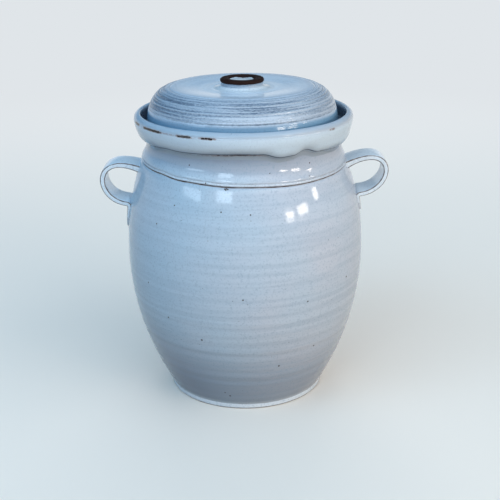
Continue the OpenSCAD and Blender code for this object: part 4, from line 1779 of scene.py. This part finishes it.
    def set_camera(self) -> None:
        """Sets the camera where the picture was taken from."""
        data = bpy.data.cameras.new("camera")
        data.sensor_width = 36.0
        data.lens = self.focal / self.picture * data.sensor_width
        data.clip_start, data.clip_end = 0.01, 100.0
        camera = bpy.data.objects.new("camera", data)
        bpy.context.scene.collection.objects.link(camera)
        tilt, roll = math.radians(self.tilt), math.radians(self.roll)
        level = Vector((1, 0, 0))
        up = Vector((0, math.sin(tilt), math.cos(tilt)))
        right = level * math.cos(roll) - up * math.sin(roll)
        top = level * math.sin(roll) + up * math.cos(roll)
        back = right.cross(top)
        turn = Matrix((right, top, back)).transposed().to_4x4()
        camera.matrix_world = Matrix.Translation(Vector(self.eye) * MM) @ turn
        bpy.context.scene.camera = camera


def main() -> None:
    """Builds every piece of the crock in order, then the studio round it."""
    logging.basicConfig(level=logging.INFO, format="%(name)s: %(message)s")
    bpy.context.scene.view_settings.view_transform = "Standard"
    jar = Jar()
    # The jar's through colour is painted shade on its neck and low belly
    white = Glaze("tin_white_glaze", thick="#b2cbdc", thin="#c2cad5", white="#dfe9f0", line="#859eb3",
                  through="#6f7f98", grain_show=0.4, ring_show=0.2, flecks=jar.fleck_places())
    # The rim's dark through colour is painted shade in the moat and under the outer wall
    rim = Glaze("tin_white_glaze_on_rim", thick="#b0cadd", thin="#bfcbd7", white="#d3e7f5", line="#8aa3b6",
                iron="#1c1412", rust="#85695c", through="#45566a", ring_show=0.08, grain_show=0.12,
                break_size=2.2, breaking=((0.12, 0.5, 0.7), (0.5, 0.62, 1.0)))
    # The straps' glaze is lighter than the jar's: painted light for the light that falls on them
    strap = Glaze("tin_white_glaze_on_strap", thick="#cbe6f6", thin="#d0dbe4", white="#e6f1f8",
                  line="#869fb4", ring_show=0.05, ring_depth=0.02)
    lid_glaze = Glaze("thin_lid_glaze", thick="#bcd2e5", thin="#c4d0dd", white="#d9e8f4", line="#4e657c",
                      rust="#566a7d", iron="#2f3b48", through="#6a94b2", roughness=0.12, ring_show=0.06,
                      grain_show=0.2, radial=1.0, veil=0.26, flecks=((33.0, -37.0, 287.0, 0.9),))
    # The knob glaze's heavy veil darkens the painted shade on its waist
    knob_glaze = Glaze("iron_clay_and_glaze", thick="#a4bccf", thin="#b3c3d0", white="#d5e2ea",
                       line="#6b7d92", iron="#0f0807", bare="#2a1712", ring_show=0.1, radial=1.0, veil=0.4)
    biscuit = BareClay("bare_stoneware", body="#b9a68f", toasted="#a88262", grog="#6d5848")
    jar.build(white.build())
    MoatRing().build(rim.build())
    left = StrapHandle("left_strap", "left_handle", -1, root_rise=-7.0, height=29.5, spring=24.5,
                       tail_h=25.0)
    right = StrapHandle("right_strap", "right_handle", 1, root_rise=-4.5, height=25.0, spring=29.0,
                        tail_h=18.0)
    strap_glaze = strap.build()
    for handle in (left, right):
        handle.build(strap_glaze)
    Lid().build(lid_glaze.build())
    Knob().build(knob_glaze.build())
    clay = biscuit.build()
    WeightStone("left_stone_worn", "left_weight_stone", Body.LEFT_STONE, -1).build(clay)
    WeightStone("right_stone_worn", "right_weight_stone", Body.RIGHT_STONE, 1).build(clay)
    Studio().build()


if __name__ == "__main__":
    main()
